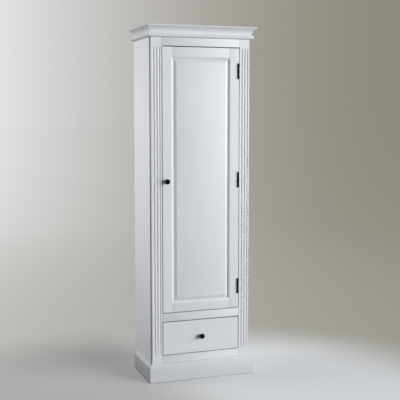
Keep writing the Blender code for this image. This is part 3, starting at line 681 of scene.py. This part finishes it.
def planeOff(piece, node, margins):
    low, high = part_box(node)
    edges = ((0, low.x, 1), (0, high.x, -1), (2, low.z, 1), (2, high.z, -1))
    for (axis, level, way), margin in zip(edges, margins):
        openOn(piece, lambda place: abs(place[axis] - level) < 0.00005)
        step = Vector()
        step[axis] = way * margin
        bpy.ops.transform.translate(value=step)
        closeUp()


for boards, finishes, ending in ((easedBoards, paint, "painted"), (planedBoards, pine, "planed")):
    for node, (grain, rounding) in boards.items():
        piece = traceNode(node, ending)
        if node in planedOff:
            planeOff(piece, node, planedOff[node])
        ease(piece, rounding)
        shade(piece)
        dressNode(piece, finishes[grain], node)

drawerSheet = {"arris": 0.0003}          # the thin bottom of the drawer
floorPiece = traceNode("drawer_bottom", "sheet")
ease(floorPiece, drawerSheet["arris"])
dressNode(floorPiece, sheetWood, "drawer_bottom")
print("boards eased")


# Back panel, held by a row of sunk nails round its border

backNails = {
    "arris": 0.0002,         # round the panel and the holes
    "radius": 0.0017,
    "crown": 0.7,            # the flat of a nail's head, as a share of its radius
    "thickness": 0.0006,
    "sunk": 0.0004,
    "hole": 1.25,            # times the head's radius
    "depth": 0.0012,
    "fromSide": 0.006,
    "fromEnd": 0.008,        # the short rows at head and foot
    "firstInRow": 0.02,
    "pitch": 0.15,
    "endPitch": 0.14,
}


def nailSpots(low, high):
    look = backNails
    foot, head = low.z + look["firstInRow"], high.z - look["firstInRow"]
    rows = round((head - foot) / look["pitch"])
    spots = []
    for i in range(rows + 1):
        level = foot + (head - foot) * i / rows
        spots += [(low.x + look["fromSide"], level), (high.x - look["fromSide"], level)]
    for i in (-1, 0, 1):
        x = i * look["endPitch"]
        spots += [(x, low.z + look["fromEnd"]), (x, high.z - look["fromEnd"])]
    return spots


def makeBack():
    look = backNails
    low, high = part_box("back_panel")
    spots = nailSpots(low, high)
    back = traceNode("back_panel", "sheet")
    wide, deep = look["radius"] * look["hole"], 2 * look["depth"]
    holes = [addRod("hole", wide, deep, (x, high.y, z), "y", sides=16) for x, z in spots]
    cut(back, unite("holes", holes))
    ease(back, look["arris"], 2)
    dressNode(back, sheetWood, "back_panel")
    radius, thickness = look["radius"], look["thickness"]
    crown = (radius * look["crown"], 0)
    profile = [(0, 0), crown, (radius, -thickness / 2), (radius, -thickness), (0, -thickness)]
    face = high.y - look["sunk"]
    nail = spinUp("nail", profile, (0, 0, 0), (0, 1, 0), 12)
    nails = [repeat(nail, "nail", Matrix.Translation((x, face, z))) for x, z in spots]
    bpy.data.objects.remove(nail)
    nails = unite("back_panel_nails", nails)
    shade(nails, 30)
    dress(nails, zinc, "carcass", "zinc")


makeBack()
print("back nailed on")


# Cornice in three mitred runs

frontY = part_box("frieze_rail")[0].y                # the plane of door, drawer and pilasters
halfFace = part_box("pilaster_right")[1].x
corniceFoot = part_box("cornice_front")[0].z
cornice = {
    "projection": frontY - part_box("cornice_front")[0].y,
    "height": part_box("cornice_front")[1].z - corniceFoot,
    "beadRadius": 0.0111,
    "beadOut": 0.0205,
    "coveFoot": 0.0096,
    "coveSill": 0.0015,
    "coveTurn": 50,        # degrees of the oval that the cove follows
    "lipHeight": 0.006,
    "lipStep": 0.0012,
    "round": 0.0009,       # lip corners
    "backGap": 0.0003,
    "sideBack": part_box("side_panel_right")[1].x - halfFace + 0.0003,
    "mitreGap": 0.00004,
}


def corniceOutline():
    # (outward, up) from the foot of the cornice at the face
    look = cornice
    radius, out, top, turn = look["beadRadius"], look["projection"], look["height"], look["round"]
    coveLow = 2 * radius + look["coveSill"]
    lipLow = top - look["lipHeight"]
    coveOut = out - look["lipStep"]
    turned = math.radians(look["coveTurn"])
    wide = (coveOut - look["coveFoot"]) / (1 - math.cos(turned))
    tall = (lipLow - coveLow) / math.sin(turned)
    return [
        (look["backGap"], 0),
        *arc((look["beadOut"] - radius, radius), (radius, radius), -90, 90, 26),
        (look["coveFoot"], 2 * radius),
        *arc((look["coveFoot"] + wide, coveLow), (wide, tall), 180, 180 - look["coveTurn"], 22),
        *arc((out - turn, lipLow + turn), (turn, turn), -90, 0, 5),
        *arc((out - turn, top - turn), (turn, turn), 0, 90, 5),
        (look["backGap"], top),
    ]


def makeCornice():
    look = cornice
    outline = corniceOutline()
    spare = 2 * look["projection"]
    gap = look["mitreGap"]
    start = -halfFace - spare
    points = [(start, frontY - out, corniceFoot + up) for out, up in outline]
    front = drawOut("cornice_front_painted", points, (-2 * start, 0, 0))
    for side in (-1, 1):
        sawOff(front, (side * (halfFace - gap), frontY, 0), (side, 1, 0))
    shade(front)
    dressNode(front, paint["x"], "cornice_front")
    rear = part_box("cornice_left")[1].y
    reach = rear - frontY + spare
    outline = [(max(out, look["sideBack"]), up) for out, up in outline]
    for name, side in (("left", -1), ("right", 1)):
        points = [(side * (halfFace + out), rear, corniceFoot + up) for out, up in outline]
        run = drawOut(f"cornice_{name}_painted", points, (0, -reach, 0))
        sawOff(run, (side * halfFace, frontY + gap, 0), (-side, -1, 0))
        shade(run)
        dressNode(run, paint["y"], f"cornice_{name}")


makeCornice()
print("cornice mitred")


# Pilasters with stopped flutes

flutes = {
    "count": 3,
    "pitch": 0.0165,
    "width": 0.0098,
    "depth": 0.0038,
    "stopTop": 0.0075,
    "stopFoot": 0.0055,
    "sides": 48,
    "rings": 25,           # odd, so that the rod's waist is a straight band
    "arris": 0.0007,
}


def fluteRod(x, low, high):
    # a long round-ended rod: the part of it behind the face cuts one flute
    width, depth, rings = flutes["width"], flutes["depth"], flutes["rings"]
    radius = (width**2 / 4 + depth**2) / (2 * depth)
    widest = math.cos(math.pi / (2 * rings))
    middle = (x, frontY + depth - radius, (low + high) / 2)
    pickUp()
    bpy.ops.mesh.primitive_uv_sphere_add(
        segments=flutes["sides"],
        ring_count=rings,
        radius=radius / widest,
        location=middle,
        scale=(1, 1, widest),
    )
    rod = takeNew("flute_rod")
    halfRun = (high - low) / 2 - radius
    openOn(rod, lambda place: place.z > middle[2])
    bpy.ops.transform.translate(value=(0, 0, halfRun))
    bpy.ops.mesh.select_all(action="INVERT")
    bpy.ops.transform.translate(value=(0, 0, -halfRun))
    closeUp()
    return rod


def makePilasters():
    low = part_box("bottom_rail")[1].z + flutes["stopFoot"]
    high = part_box("frieze_rail")[0].z - flutes["stopTop"]
    for name in ("pilaster_left", "pilaster_right"):
        corner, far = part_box(name)
        pilaster = addBlock(f"{name}_painted", corner, far)
        for i in range(flutes["count"]):
            x = (corner.x + far.x) / 2 + (i - (flutes["count"] - 1) / 2) * flutes["pitch"]
            cut(pilaster, fluteRod(x, low, high))
        ease(pilaster, flutes["arris"], 3, 40)
        shade(pilaster)
        dressNode(pilaster, paint["z"], name)


makePilasters()
print("pilasters fluted")


# Screws with a cross recess, made once and copied

screwForm = {
    "rim": 0.0002,           # the rim of a domed head lies this far below the origin
    "skirt": 0.0006,         # and its underside this far
    "bevel": 0.0001,         # round the rim of a flat head
    "tip": 0.001,
    "tipRadius": 0.4,        # of the shank's
    "crossLength": 0.62,     # of the head's radius
    "crossWidth": 0.13,
    "crossDepth": 0.55,      # of the head's height
}


def makeScrew(headRadius, headHeight, shankRadius, length, domed):
    # the head looks up +Z, and its rim is about level with the origin
    look = screwForm
    if domed:
        head = arc((0, -look["rim"]), (headRadius, headHeight), 90, 0, 8)
        profile = [*head, (headRadius, -look["skirt"]), (shankRadius, -look["skirt"])]
    else:
        bevel = look["bevel"]
        profile = [(0, 0), (headRadius - bevel, 0), (headRadius, -bevel), (shankRadius, -headHeight)]
    end = -length - look["tip"]
    profile += [(shankRadius, -length), (shankRadius * look["tipRadius"], end), (0, end)]
    screw = spinUp("screw", profile, (0, 0, 0), (0, 0, 1), 24)
    long, wide = headRadius * look["crossLength"], headRadius * look["crossWidth"]
    top = profile[0][1]
    bottom = top - headHeight * look["crossDepth"]
    for x, y in ((long, wide), (wide, long)):
        cut(screw, addBlock("slot", (-x, -y, bottom), (x, y, top + look["tip"])))
    shade(screw, 20)
    return screw


def aim(point, outward, turn):
    # where a screw goes: its head at a point, looking outward, its cross turned by an angle
    facing = Vector(outward).to_track_quat("Z", "Y").to_matrix().to_4x4()
    return Matrix.Translation(point) @ facing @ Matrix.Rotation(turn, 4, "Z")


# Butt hinges: two rolled leaves, a pin with ball tips, six screws

hinge = {
    "knuckles": 5,
    "radius": 0.0042,
    "pin": 0.0018,
    "gap": 0.0003,
    "leafThickness": 0.0022,
    "leafWidth": 0.0185,
    "curl": 300,                         # degrees that the strip is rolled
    "curlRoot": 0.4,
    "tip": (0.0036, 0.005),              # radius and height of the pin's tips
    "neck": 0.0006,
    "screwLevels": (-0.027, 0.0, 0.027),
    "screwSetback": 0.0102,              # behind the knuckles
    "screwHead": (0.0031, 0.0017),       # radius and height
    "screwShank": (0.0014, 0.007),       # radius and length
    "screwSunk": 0.0001,
    "hole": (0.0016, 0.01),              # radius and depth
    "countersink": (0.0033, 0.0015),
    "arris": 0.00022,
}
hingeAxis = Vector(frame["joints"][0]["pos_m"])


def hingeLeaf(name, plateLow, plateHigh, middle, firstNotch):
    look = hinge
    radius, gap = look["radius"], look["gap"]
    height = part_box("hinge_middle_door_leaf")[1].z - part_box("hinge_middle_door_leaf")[0].z
    plateFront = radius + 2 * gap
    plateBack = plateFront + look["leafWidth"]
    outline = [
        (plateLow, plateBack),
        (plateHigh, plateBack),
        (plateHigh, look["curlRoot"] * radius),
        *arc((0, 0), (radius, radius), 0, -look["curl"], 40),
        (plateLow, radius - gap),
    ]
    points = [(hingeAxis.x + x, hingeAxis.y + y, middle - height / 2) for x, y in outline]
    leaf = drawOut(name, points, (0, 0, height))
    pitch = (height + gap) / look["knuckles"]
    for i in range(firstNotch, look["knuckles"], 2):
        low = middle - height / 2 + i * pitch
        corner = (hingeAxis.x - plateBack, hingeAxis.y - plateBack, low - gap)
        far = (hingeAxis.x + plateBack, hingeAxis.y + plateFront, low + pitch)
        cut(leaf, addBlock("notch", corner, far))
    bore = (hingeAxis.x, hingeAxis.y, middle)
    cut(leaf, addRod("bore", look["pin"] + gap, 2 * height, bore, "z"))
    return leaf


def screwSpots(middle, face):
    y = hingeAxis.y + hinge["radius"] + hinge["screwSetback"]
    return [Vector((face, y, middle + level)) for level in hinge["screwLevels"]]


def drillLeaf(leaf, spots, looks):
    # each hole is wide at the leaf's face, and its cutter a little longer than the sink
    (narrow, depth), (wide, sunk) = hinge["hole"], hinge["countersink"]
    foot, tip = (narrow, wide) if looks > 0 else (wide, narrow)
    for spot in spots:
        inside = spot - Vector((looks * sunk / 2, 0, 0))
        cut(leaf, addRod("countersink", foot, sunk * 1.02, inside, "x", tip))
        cut(leaf, addRod("hole", narrow, depth, spot, "x"))


def makePin(name, middle, height):
    look = hinge
    seat = height / 2 + look["gap"]
    tipRadius, tipHeight = look["tip"]
    ball = arc((0, seat + look["neck"]), (tipRadius, tipHeight - look["neck"]), 90, 0, 12)
    upper = [*ball, (tipRadius, seat), (look["pin"], seat)]
    profile = upper + [(radius, -level) for radius, level in reversed(upper)]
    pin = spinUp(name, profile, (hingeAxis.x, hingeAxis.y, middle), (0, 0, 1), 40)
    shade(pin, 20)
    return pin


def makeHinges():
    look = hinge
    gap = look["gap"]
    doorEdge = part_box("door_stile_right")[1].x
    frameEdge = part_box("pilaster_right")[0].x
    edge = doorEdge - hingeAxis.x
    leaves = {
        # kind: (plate from, plate to, first notch, plane of its face, way it looks, body)
        "door": (edge - look["leafThickness"], edge, 0, doorEdge, 1, "door"),
        "frame": (edge + gap, frameEdge - gap - hingeAxis.x, 1, doorEdge + gap, -1, "carcass"),
    }
    screw = makeScrew(*look["screwHead"], *look["screwShank"], domed=False)
    for level in ("lower", "middle", "upper"):
        low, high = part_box(f"hinge_{level}_door_leaf")
        middle = (low.z + high.z) / 2
        for kind, (plateLow, plateHigh, firstNotch, face, looks, body) in leaves.items():
            node = f"hinge_{level}_{kind}_leaf"
            leaf = hingeLeaf(f"{node}_lacquered", plateLow, plateHigh, middle, firstNotch)
            spots = screwSpots(middle, face)
            drillLeaf(leaf, spots, looks)
            ease(leaf, look["arris"], 2, 35)
            shade(leaf, 14)
            dress(leaf, lacquer, body, "black_iron", node)
            screws = []
            for spot in spots:
                head = spot - Vector((looks * look["screwSunk"], 0, 0))
                place = aim(head, (looks, 0, 0), random.uniform(0, math.pi))
                screws.append(repeat(screw, "screw", place))
            dress(unite(f"hinge_{level}_{kind}_screws", screws), lacquer, body, "black_iron")
        pin = makePin(f"hinge_{level}_pin_lacquered", middle, high.z - low.z)
        dress(pin, lacquer, "carcass", "black_iron", f"hinge_{level}_pin")
    bpy.data.objects.remove(screw)


random.seed(7)
makeHinges()
print("hinges hung")


# Knobs and the screws that hold them

knob = {
    "radius": 0.015,
    "head": 0.017,          # thickness of the head
    "footRadius": 0.008,
    "footHeight": 0.0025,
    "neckRadius": 0.005,
    "neckSteps": 9,
    "headTurn": 60,         # the round runs this far under the head, in degrees
    "rimTurn": 0.0006,      # the round of the foot's rim
    "holeRadius": 0.0023,
    "holeDepth": 0.011,
    "screwHeight": 0.002,   # of the domed head
    "screwProud": 0.0018,   # its crown above its origin
    "shank": 0.002,
    "screwShort": 0.0038,   # of its node, up to where its tip starts
    "screwTurn": 0.6,       # of the cross, in radians
}


def knobProfile(height):
    look = knob
    middle = height - look["head"] / 2
    head = arc((0, middle), (look["radius"], look["head"] / 2), 90, -look["headTurn"], 34)
    underRadius, underHeight = head[-1]
    foot, rim, turn = look["footRadius"], look["footHeight"], look["rimTurn"]
    waist = (underHeight + rim) / 2
    neck = []
    for i in range(1, look["neckSteps"]):
        share = i / look["neckSteps"]
        level = underHeight + (rim - underHeight) * share
        edge = underRadius + (foot - underRadius) * share
        pinch = 1 - ((level - waist) / (underHeight - waist)) ** 2
        neck.append((edge + (look["neckRadius"] - edge) * pinch, level))
    return [
        *head,
        *neck,
        *arc((foot - turn, rim - turn), (turn, turn), 90, 0, 4),
        (foot, 0),
        (look["holeRadius"], 0),
        (look["holeRadius"], look["holeDepth"]),
        (0, look["holeDepth"]),
    ]


def makeKnobs():
    look = knob
    for front in ("door", "drawer"):
        low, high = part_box(f"{front}_knob")
        centre = ((low.x + high.x) / 2, high.y, (low.z + high.z) / 2)
        piece = spinUp(f"{front}_knob_lacquered", knobProfile(high.y - low.y), centre, (0, -1, 0))
        shade(piece, 25)
        dressNode(piece, lacquer, f"{front}_knob")
        low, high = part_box(f"{front}_knob_screw")
        length = high.y - low.y - look["screwShort"]
        screw = makeScrew((high.x - low.x) / 2, look["screwHeight"], look["shank"], length, domed=True)
        place = aim((centre[0], high.y - look["screwProud"], centre[2]), (0, 1, 0), look["screwTurn"])
        piece = repeat(screw, f"{front}_knob_screw_plated", place)
        bpy.data.objects.remove(screw)
        shade(piece, 20)
        dressNode(piece, zinc, f"{front}_knob_screw")


makeKnobs()
print("knobs turned")


# Shelf pegs

peg = {"turn": 0.45, "sides": 28}        # turn: the round at its ends, as a share of its radius


def makePegs():
    for node in sorted(nodes):
        if "_peg_" not in node:
            continue
        low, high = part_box(node)
        half = (high.x - low.x) / 2
        radius = (high.z - low.z) / 2
        turn = radius * peg["turn"]
        end = arc((radius - turn, half - turn), (turn, turn), 90, 0, 5)
        profile = [(0, half), *end] + [(r, -h) for r, h in reversed(end)] + [(0, -half)]
        piece = spinUp(f"{node}_plated", profile, (low + high) / 2, (1, 0, 0), peg["sides"])
        shade(piece, 25)
        dressNode(piece, zinc, node)


makePegs()
print("pegs turned")


# Magnetic catch and its plate

catch = {
    "ear": 0.0075,          # width of the screw ears
    "earThickness": 0.0032,
    "mouthDepth": 0.0012,
    "mouthInset": 0.0022,
    "pole": 0.0016,
    "poleSet": 0.0002,      # behind the catch's face, and in from the mouth's foot and head
    "poleSide": 0.0003,
    "magnetSet": 0.0006,
    "magnetGap": 0.0004,
    "behindMouth": 0.002,
    "spare": 0.001,         # cutters stand out this far
    "screwHead": (0.0024, 0.0012),
    "screwShank": (0.0012, 0.004),
    "screwSunk": 0.0005,
    "screwTurn": 0.3,
    "arris": 0.0005,
    "poleArris": 0.00015,
}
catchPlate = {
    "sink": (0.0012, 0.0027),        # radius within and at the face
    "sinkDepth": 0.0012,
    "sinkSet": 0.0005,
    "screwHead": (0.0025, 0.001),
    "screwShank": (0.001, 0.0012),
    "screwSunk": 0.0001,
    "screwTurn": 0.9,
    "arris": 0.0003,
}


def makeCatchBody(low, high, left, right, foot, head):
    look = catch
    spare, ear = look["spare"], look["ear"]
    body = addBlock("magnet_catch_moulded", low, high)
    under = high.z - look["earThickness"]
    for near, far in ((low.x - spare, low.x + ear), (high.x - ear, high.x + spare)):
        corner = (near, low.y - spare, low.z - spare)
        cut(body, addBlock("ear_space", corner, (far, high.y + spare, under)))
    cut(body, addBlock("mouth", (left, low.y - spare, foot), (right, low.y + look["mouthDepth"], head)))
    ease(body, look["arris"])
    shade(body)
    dressNode(body, moulded, "magnet_catch")


def makePoles(face, left, right, foot, head):
    look = catch
    left, right = left + look["poleSide"], right - look["poleSide"]
    rear = face + look["mouthDepth"] + look["behindMouth"]
    pole, inset = look["pole"], look["poleSet"]
    poles = []
    for level in (foot + inset, head - inset - pole):
        poles.append(addBlock("pole", (left, face + inset, level), (right, rear, level + pole)))
    reach = pole + look["magnetGap"]
    corner = (left, face + look["magnetSet"], foot + reach)
    magnet = addBlock("magnet", corner, (right, rear, head - reach))
    core = unite("magnet_catch_poles", [*poles, magnet])
    ease(core, look["poleArris"], 2)
    dress(core, steel, "carcass", "zinc")


def makeCatch():
    look = catch
    low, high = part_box("magnet_catch")
    inset = look["mouthInset"]
    mouth = (low.x + look["ear"] + inset, high.x - look["ear"] - inset, low.z + inset, high.z - inset)
    makeCatchBody(low, high, *mouth)
    makePoles(low.y, *mouth)
    screw = makeScrew(*look["screwHead"], *look["screwShank"], domed=True)
    level = high.z - look["earThickness"] - look["screwSunk"]
    screws = []
    for i, x in enumerate((low.x + look["ear"] / 2, high.x - look["ear"] / 2)):
        place = aim((x, (low.y + high.y) / 2, level), (0, 0, -1), look["screwTurn"] + i)
        screws.append(repeat(screw, "screw", place))
    bpy.data.objects.remove(screw)
    dress(unite("magnet_catch_screws", screws), zinc, "carcass", "zinc")


def makeCatchPlate():
    look = catchPlate
    low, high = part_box("catch_plate")
    plate = addBlock("catch_plate_plated", low, high)
    middle = (low + high) / 2
    narrow, wide = look["sink"]
    centre = (middle.x, high.y - look["sinkSet"], middle.z)
    cut(plate, addRod("sink", narrow, look["sinkDepth"], centre, "y", wide))
    ease(plate, look["arris"])
    dressNode(plate, zinc, "catch_plate")
    screw = makeScrew(*look["screwHead"], *look["screwShank"], domed=False)
    place = aim((middle.x, high.y - look["screwSunk"], middle.z), (0, 1, 0), look["screwTurn"])
    piece = repeat(screw, "catch_plate_screw", place)
    bpy.data.objects.remove(screw)
    dress(piece, zinc, "door", "zinc")


makeCatch()
makeCatchPlate()
print("catch fitted")


# Floor and backdrop

stage = {
    # painted shadow: the floor is darker on the left, the side away from the key lamp
    "floorPaintedShade": (0.65, 0.643, 0.635),
    "floorRight": (0.93, 0.945, 0.955),
    "floorTurn": (-0.45, 0.2),           # where the painted shadow on the left goes over into the floor's own tone
    "ragged": (300, 0.02),               # noise of that line: per metre, and metres to a side
    "bounce": (0.16, 0.16, 0.158),       # what light meets there on its way to the wardrobe
    "glow": (0.4, 0.54),                 # share of the floor that no shadow darkens, and its strength
    "paintedContactShade": (0.012, 0.72, 0.5),       # reach and depth of the painted contact shadow round the plinth
    "paintedContactShadeTone": (0.195, 0.1929, 0.1905),
    "gloom": (0.03, 0.03, 0.033),        # the dark side of the room, in reflections
    "behind": (-0.6, 0.8),               # where that side goes over into the bright one
    "lightLow": (0.75, 0.75, 0.745),     # backdrop on the side of the light, near the floor
    "lightHigh": (0.89, 0.885, 0.905),   # and further up
    "darkLow": (0.30, 0.29, 0.25),       # backdrop away from the light
    "darkHigh": (0.268, 0.25, 0.205),
    "riseShares": (0.3, 0.5),            # how the tone rises with the way out, and with the height
    "riseRange": (0.3, 3.6),
    "across": (3.4, -3.5),               # metres over which the tone changes
    "turn": 19.4,                        # and the direction it changes across, in degrees
    "sides": 128,
    "radius": 6.0,
    "sweep": 1.5,
    "wall": 7.0,
    "litCentre": (-0.3, -0.9, 0),        # the lit part of the floor
    "litEdge": (1.25, 2.1),
}


def backdropTone(bench):
    look = stage
    turn = math.radians(look["turn"])
    place = bench.place()
    x, y, z = bench.split(place, "XYZ")
    across = x * math.cos(turn) - y * math.sin(turn)
    sockets = {"Value": across, "From Min": look["across"][0], "From Max": look["across"][1]}
    light = bench.node("ShaderNodeMapRange", None, sockets)
    away = bench.node("ShaderNodeVectorMath", {"operation": "LENGTH"}, {0: place}, "Value")
    outShare, upShare = look["riseShares"]
    rise = bench.ramp(away * outShare + z * upShare, *look["riseRange"])
    bright = bench.blend(rise, look["lightLow"], look["lightHigh"])
    dark = bench.blend(rise, look["darkLow"], look["darkHigh"])
    return bench.blend(light * light, dark, bright)


def rayIs(bench, kind):
    return bench.node("ShaderNodeLightPath", out=f"Is {kind} Ray")


def seenOnly(bench):
    # 1 for what the camera sees, and for the backdrop behind the wardrobe in reflections:
    # the room on the camera's side is dark
    turn = math.radians(stage["turn"])
    x, y = bench.split(bench.place(), "XY")
    behind = bench.ramp(x * math.sin(turn) + y * math.cos(turn), *stage["behind"])
    seen = rayIs(bench, "Camera").orMore(rayIs(bench, "Transmission"))
    return seen.orMore(rayIs(bench, "Glossy") * behind)


def emit(bench, colour, strength=1.0):
    return bench.node("ShaderNodeEmission", None, {"Color": colour, "Strength": strength})


def mix(bench, share, first, second):
    return bench.node("ShaderNodeMixShader", None, {0: share, 1: first, 2: second})


def finishWith(bench, shader, kind="Material"):
    bench.node(f"ShaderNodeOutput{kind}", None, {"Surface": shader}, None)


def makeFloorFinish():
    look = stage
    material, bench = newFinish("studio_floor")
    perMetre, swing = look["ragged"]
    across = bench.split(bench.place(), "X")[0]
    across = across + bench.noise((perMetre, perMetre, perMetre), 3.0) * swing
    # painted shadow: the floor darker to the left
    tone = bench.blend(bench.ramp(across, *look["floorTurn"]), look["floorPaintedShade"], look["floorRight"])
    # painted contact shadow where the plinth meets the floor
    reach, clear, met = look["paintedContactShade"]
    tone = bench.blend(bench.ramp(bench.openness(reach), clear, met), tone, look["paintedContactShadeTone"])
    lit = bench.node("ShaderNodeBsdfDiffuse", None, {"Color": tone, "Roughness": 0.5})
    share, strength = look["glow"]
    near = mix(bench, share, lit, emit(bench, tone, strength))
    sockets = {0: bench.place(), 1: look["litCentre"]}
    away = bench.node("ShaderNodeVectorMath", {"operation": "DISTANCE"}, sockets, "Value")
    seen = mix(bench, bench.ramp(away, *look["litEdge"]), near, emit(bench, backdropTone(bench)))
    dull = bench.node("ShaderNodeBsdfDiffuse", None, {"Color": look["bounce"], "Roughness": 0.5})
    finishWith(bench, mix(bench, seenOnly(bench), dull, seen))
    return material


def makeWallFinish():
    material, bench = newFinish("studio_wall")
    gloom = emit(bench, stage["gloom"])
    finishWith(bench, mix(bench, seenOnly(bench), gloom, emit(bench, backdropTone(bench))))
    return material


def makeStage():
    look = stage
    sides, ring, bend = look["sides"], look["radius"], look["sweep"]
    pickUp()
    bpy.ops.mesh.primitive_circle_add(vertices=sides, radius=ring, fill_type="NGON")
    floor = takeNew("studio_floor")
    floor.data.materials.append(makeFloorFinish())
    pickUp()
    bpy.ops.mesh.primitive_circle_add(vertices=sides, radius=ring)
    wall = takeNew("studio_wall")
    openUp(wall)
    sweep = arc((ring, bend), (bend, bend), -90, 0, 12)
    sweep.append((sweep[-1][0], look["wall"]))
    for (radius, level), (nextRadius, nextLevel) in zip(sweep, sweep[1:]):
        step = {"value": (0, 0, nextLevel - level)}
        bpy.ops.mesh.extrude_region_move(TRANSFORM_OT_translate=step)
        grow = nextRadius / radius
        bpy.ops.transform.resize(value=(grow, grow, 1), center_override=(0, 0, nextLevel))
    closeUp()
    shade(wall, 60)
    wall.visible_diffuse = False
    wall.visible_shadow = False
    wall.data.materials.append(makeWallFinish())


makeStage()
print("stage set")


# Lamps, sky and camera

lamps = {
    # compass: degrees from straight in front towards the right; rise: degrees above the target
    "key": {
        "target": (0, -0.156, 0.9),
        "distance": 8.0,
        "compass": 46,
        "rise": 9,
        "size": (7.5, 3.0),
        "spread": 130,
        "power": 416,
        "colour": (0.955, 0.975, 1.0),
    },
    "fill": {
        "target": (-0.296, 0.04, 1.15),
        "distance": 3.2,
        "compass": -110,
        "rise": 27,
        "size": (1.2, 1.2),
        "spread": 84,
        "power": 10.5,
        "colour": (1.0, 0.995, 0.985),
    },
    "side": {
        "target": (-0.296, 0.04, 1.15),
        "distance": 2.85,
        "compass": -110,
        "rise": 9,
        "size": (1.2, 1.2),
        "spread": 90,
        "power": 6.0,
        "colour": (1.0, 0.995, 0.985),
    },
}


def addLamp(name, look):
    compass, rise = math.radians(look["compass"]), math.radians(look["rise"])
    level = math.cos(rise)
    away = Vector((math.sin(compass) * level, -math.cos(compass) * level, math.sin(rise)))
    place = Vector(look["target"]) + away * look["distance"]
    turn = away.to_track_quat("Z", "Y").to_euler()
    bpy.ops.object.light_add(type="AREA", location=place, rotation=turn)
    lamp = bpy.context.object
    lamp.name = f"lamp_{name}"
    lamp.data.shape = "RECTANGLE"
    lamp.data.size, lamp.data.size_y = look["size"]
    lamp.data.spread = math.radians(look["spread"])
    lamp.data.energy = look["power"]
    lamp.data.color = look["colour"]
    return lamp


pickUp()
lit = {name: addLamp(name, look) for name, look in lamps.items()}
sideOnly = bpy.data.collections.new("lit_from_the_side")     # the side lamp is flagged off the rest
sideOnly.objects.link(bpy.data.objects["side_panel_left_painted"])
lit["side"].light_linking.receiver_collection = sideOnly

sky = {
    "front": 0.08,
    "behind": 0.42,
    "turn": (-0.1, 0.6),         # where the one goes over into the other
    "above": 0.32,
    "aboveFrom": (0.55, 0.95),
    "tone": (0.97, 0.98, 1.0),
}


def makeSky():
    world = bpy.data.worlds.new("studio_air")
    world.use_nodes = True
    bpy.context.scene.world = world
    bench = Bench(world.node_tree)
    looking = bench.node("ShaderNodeTexCoord", out="Generated")
    toBack, upward = bench.split(looking, "YZ")
    strength = bench.ramp(toBack, *sky["turn"], sky["front"], sky["behind"])
    strength = strength + bench.ramp(upward, *sky["aboveFrom"], 0, sky["above"])
    shown = bench.node("ShaderNodeBackground", None, {"Color": stage["lightHigh"], "Strength": 1.0})
    given = bench.node("ShaderNodeBackground", None, {"Color": sky["tone"], "Strength": strength})
    finishWith(bench, mix(bench, rayIs(bench, "Camera"), given, shown), "World")


makeSky()

view = {
    "place": (-1.5658, -4.5866, 1.5205),
    "yaw": 19.379,          # degrees to the right of straight ahead
    "pitch": 5.295,         # degrees down
    "lens": 75.06,
    "sensor": 36,
    "shift": -0.025,
}
tilt = (math.radians(90 - view["pitch"]), 0, math.radians(-view["yaw"]))
bpy.ops.object.camera_add(location=view["place"], rotation=tilt)
camera = bpy.context.object
camera.data.lens = view["lens"]
camera.data.sensor_width = view["sensor"]
camera.data.shift_y = view["shift"]
bpy.context.scene.camera = camera
bpy.context.scene.view_settings.view_transform = "Standard"
print("lamps and camera placed")
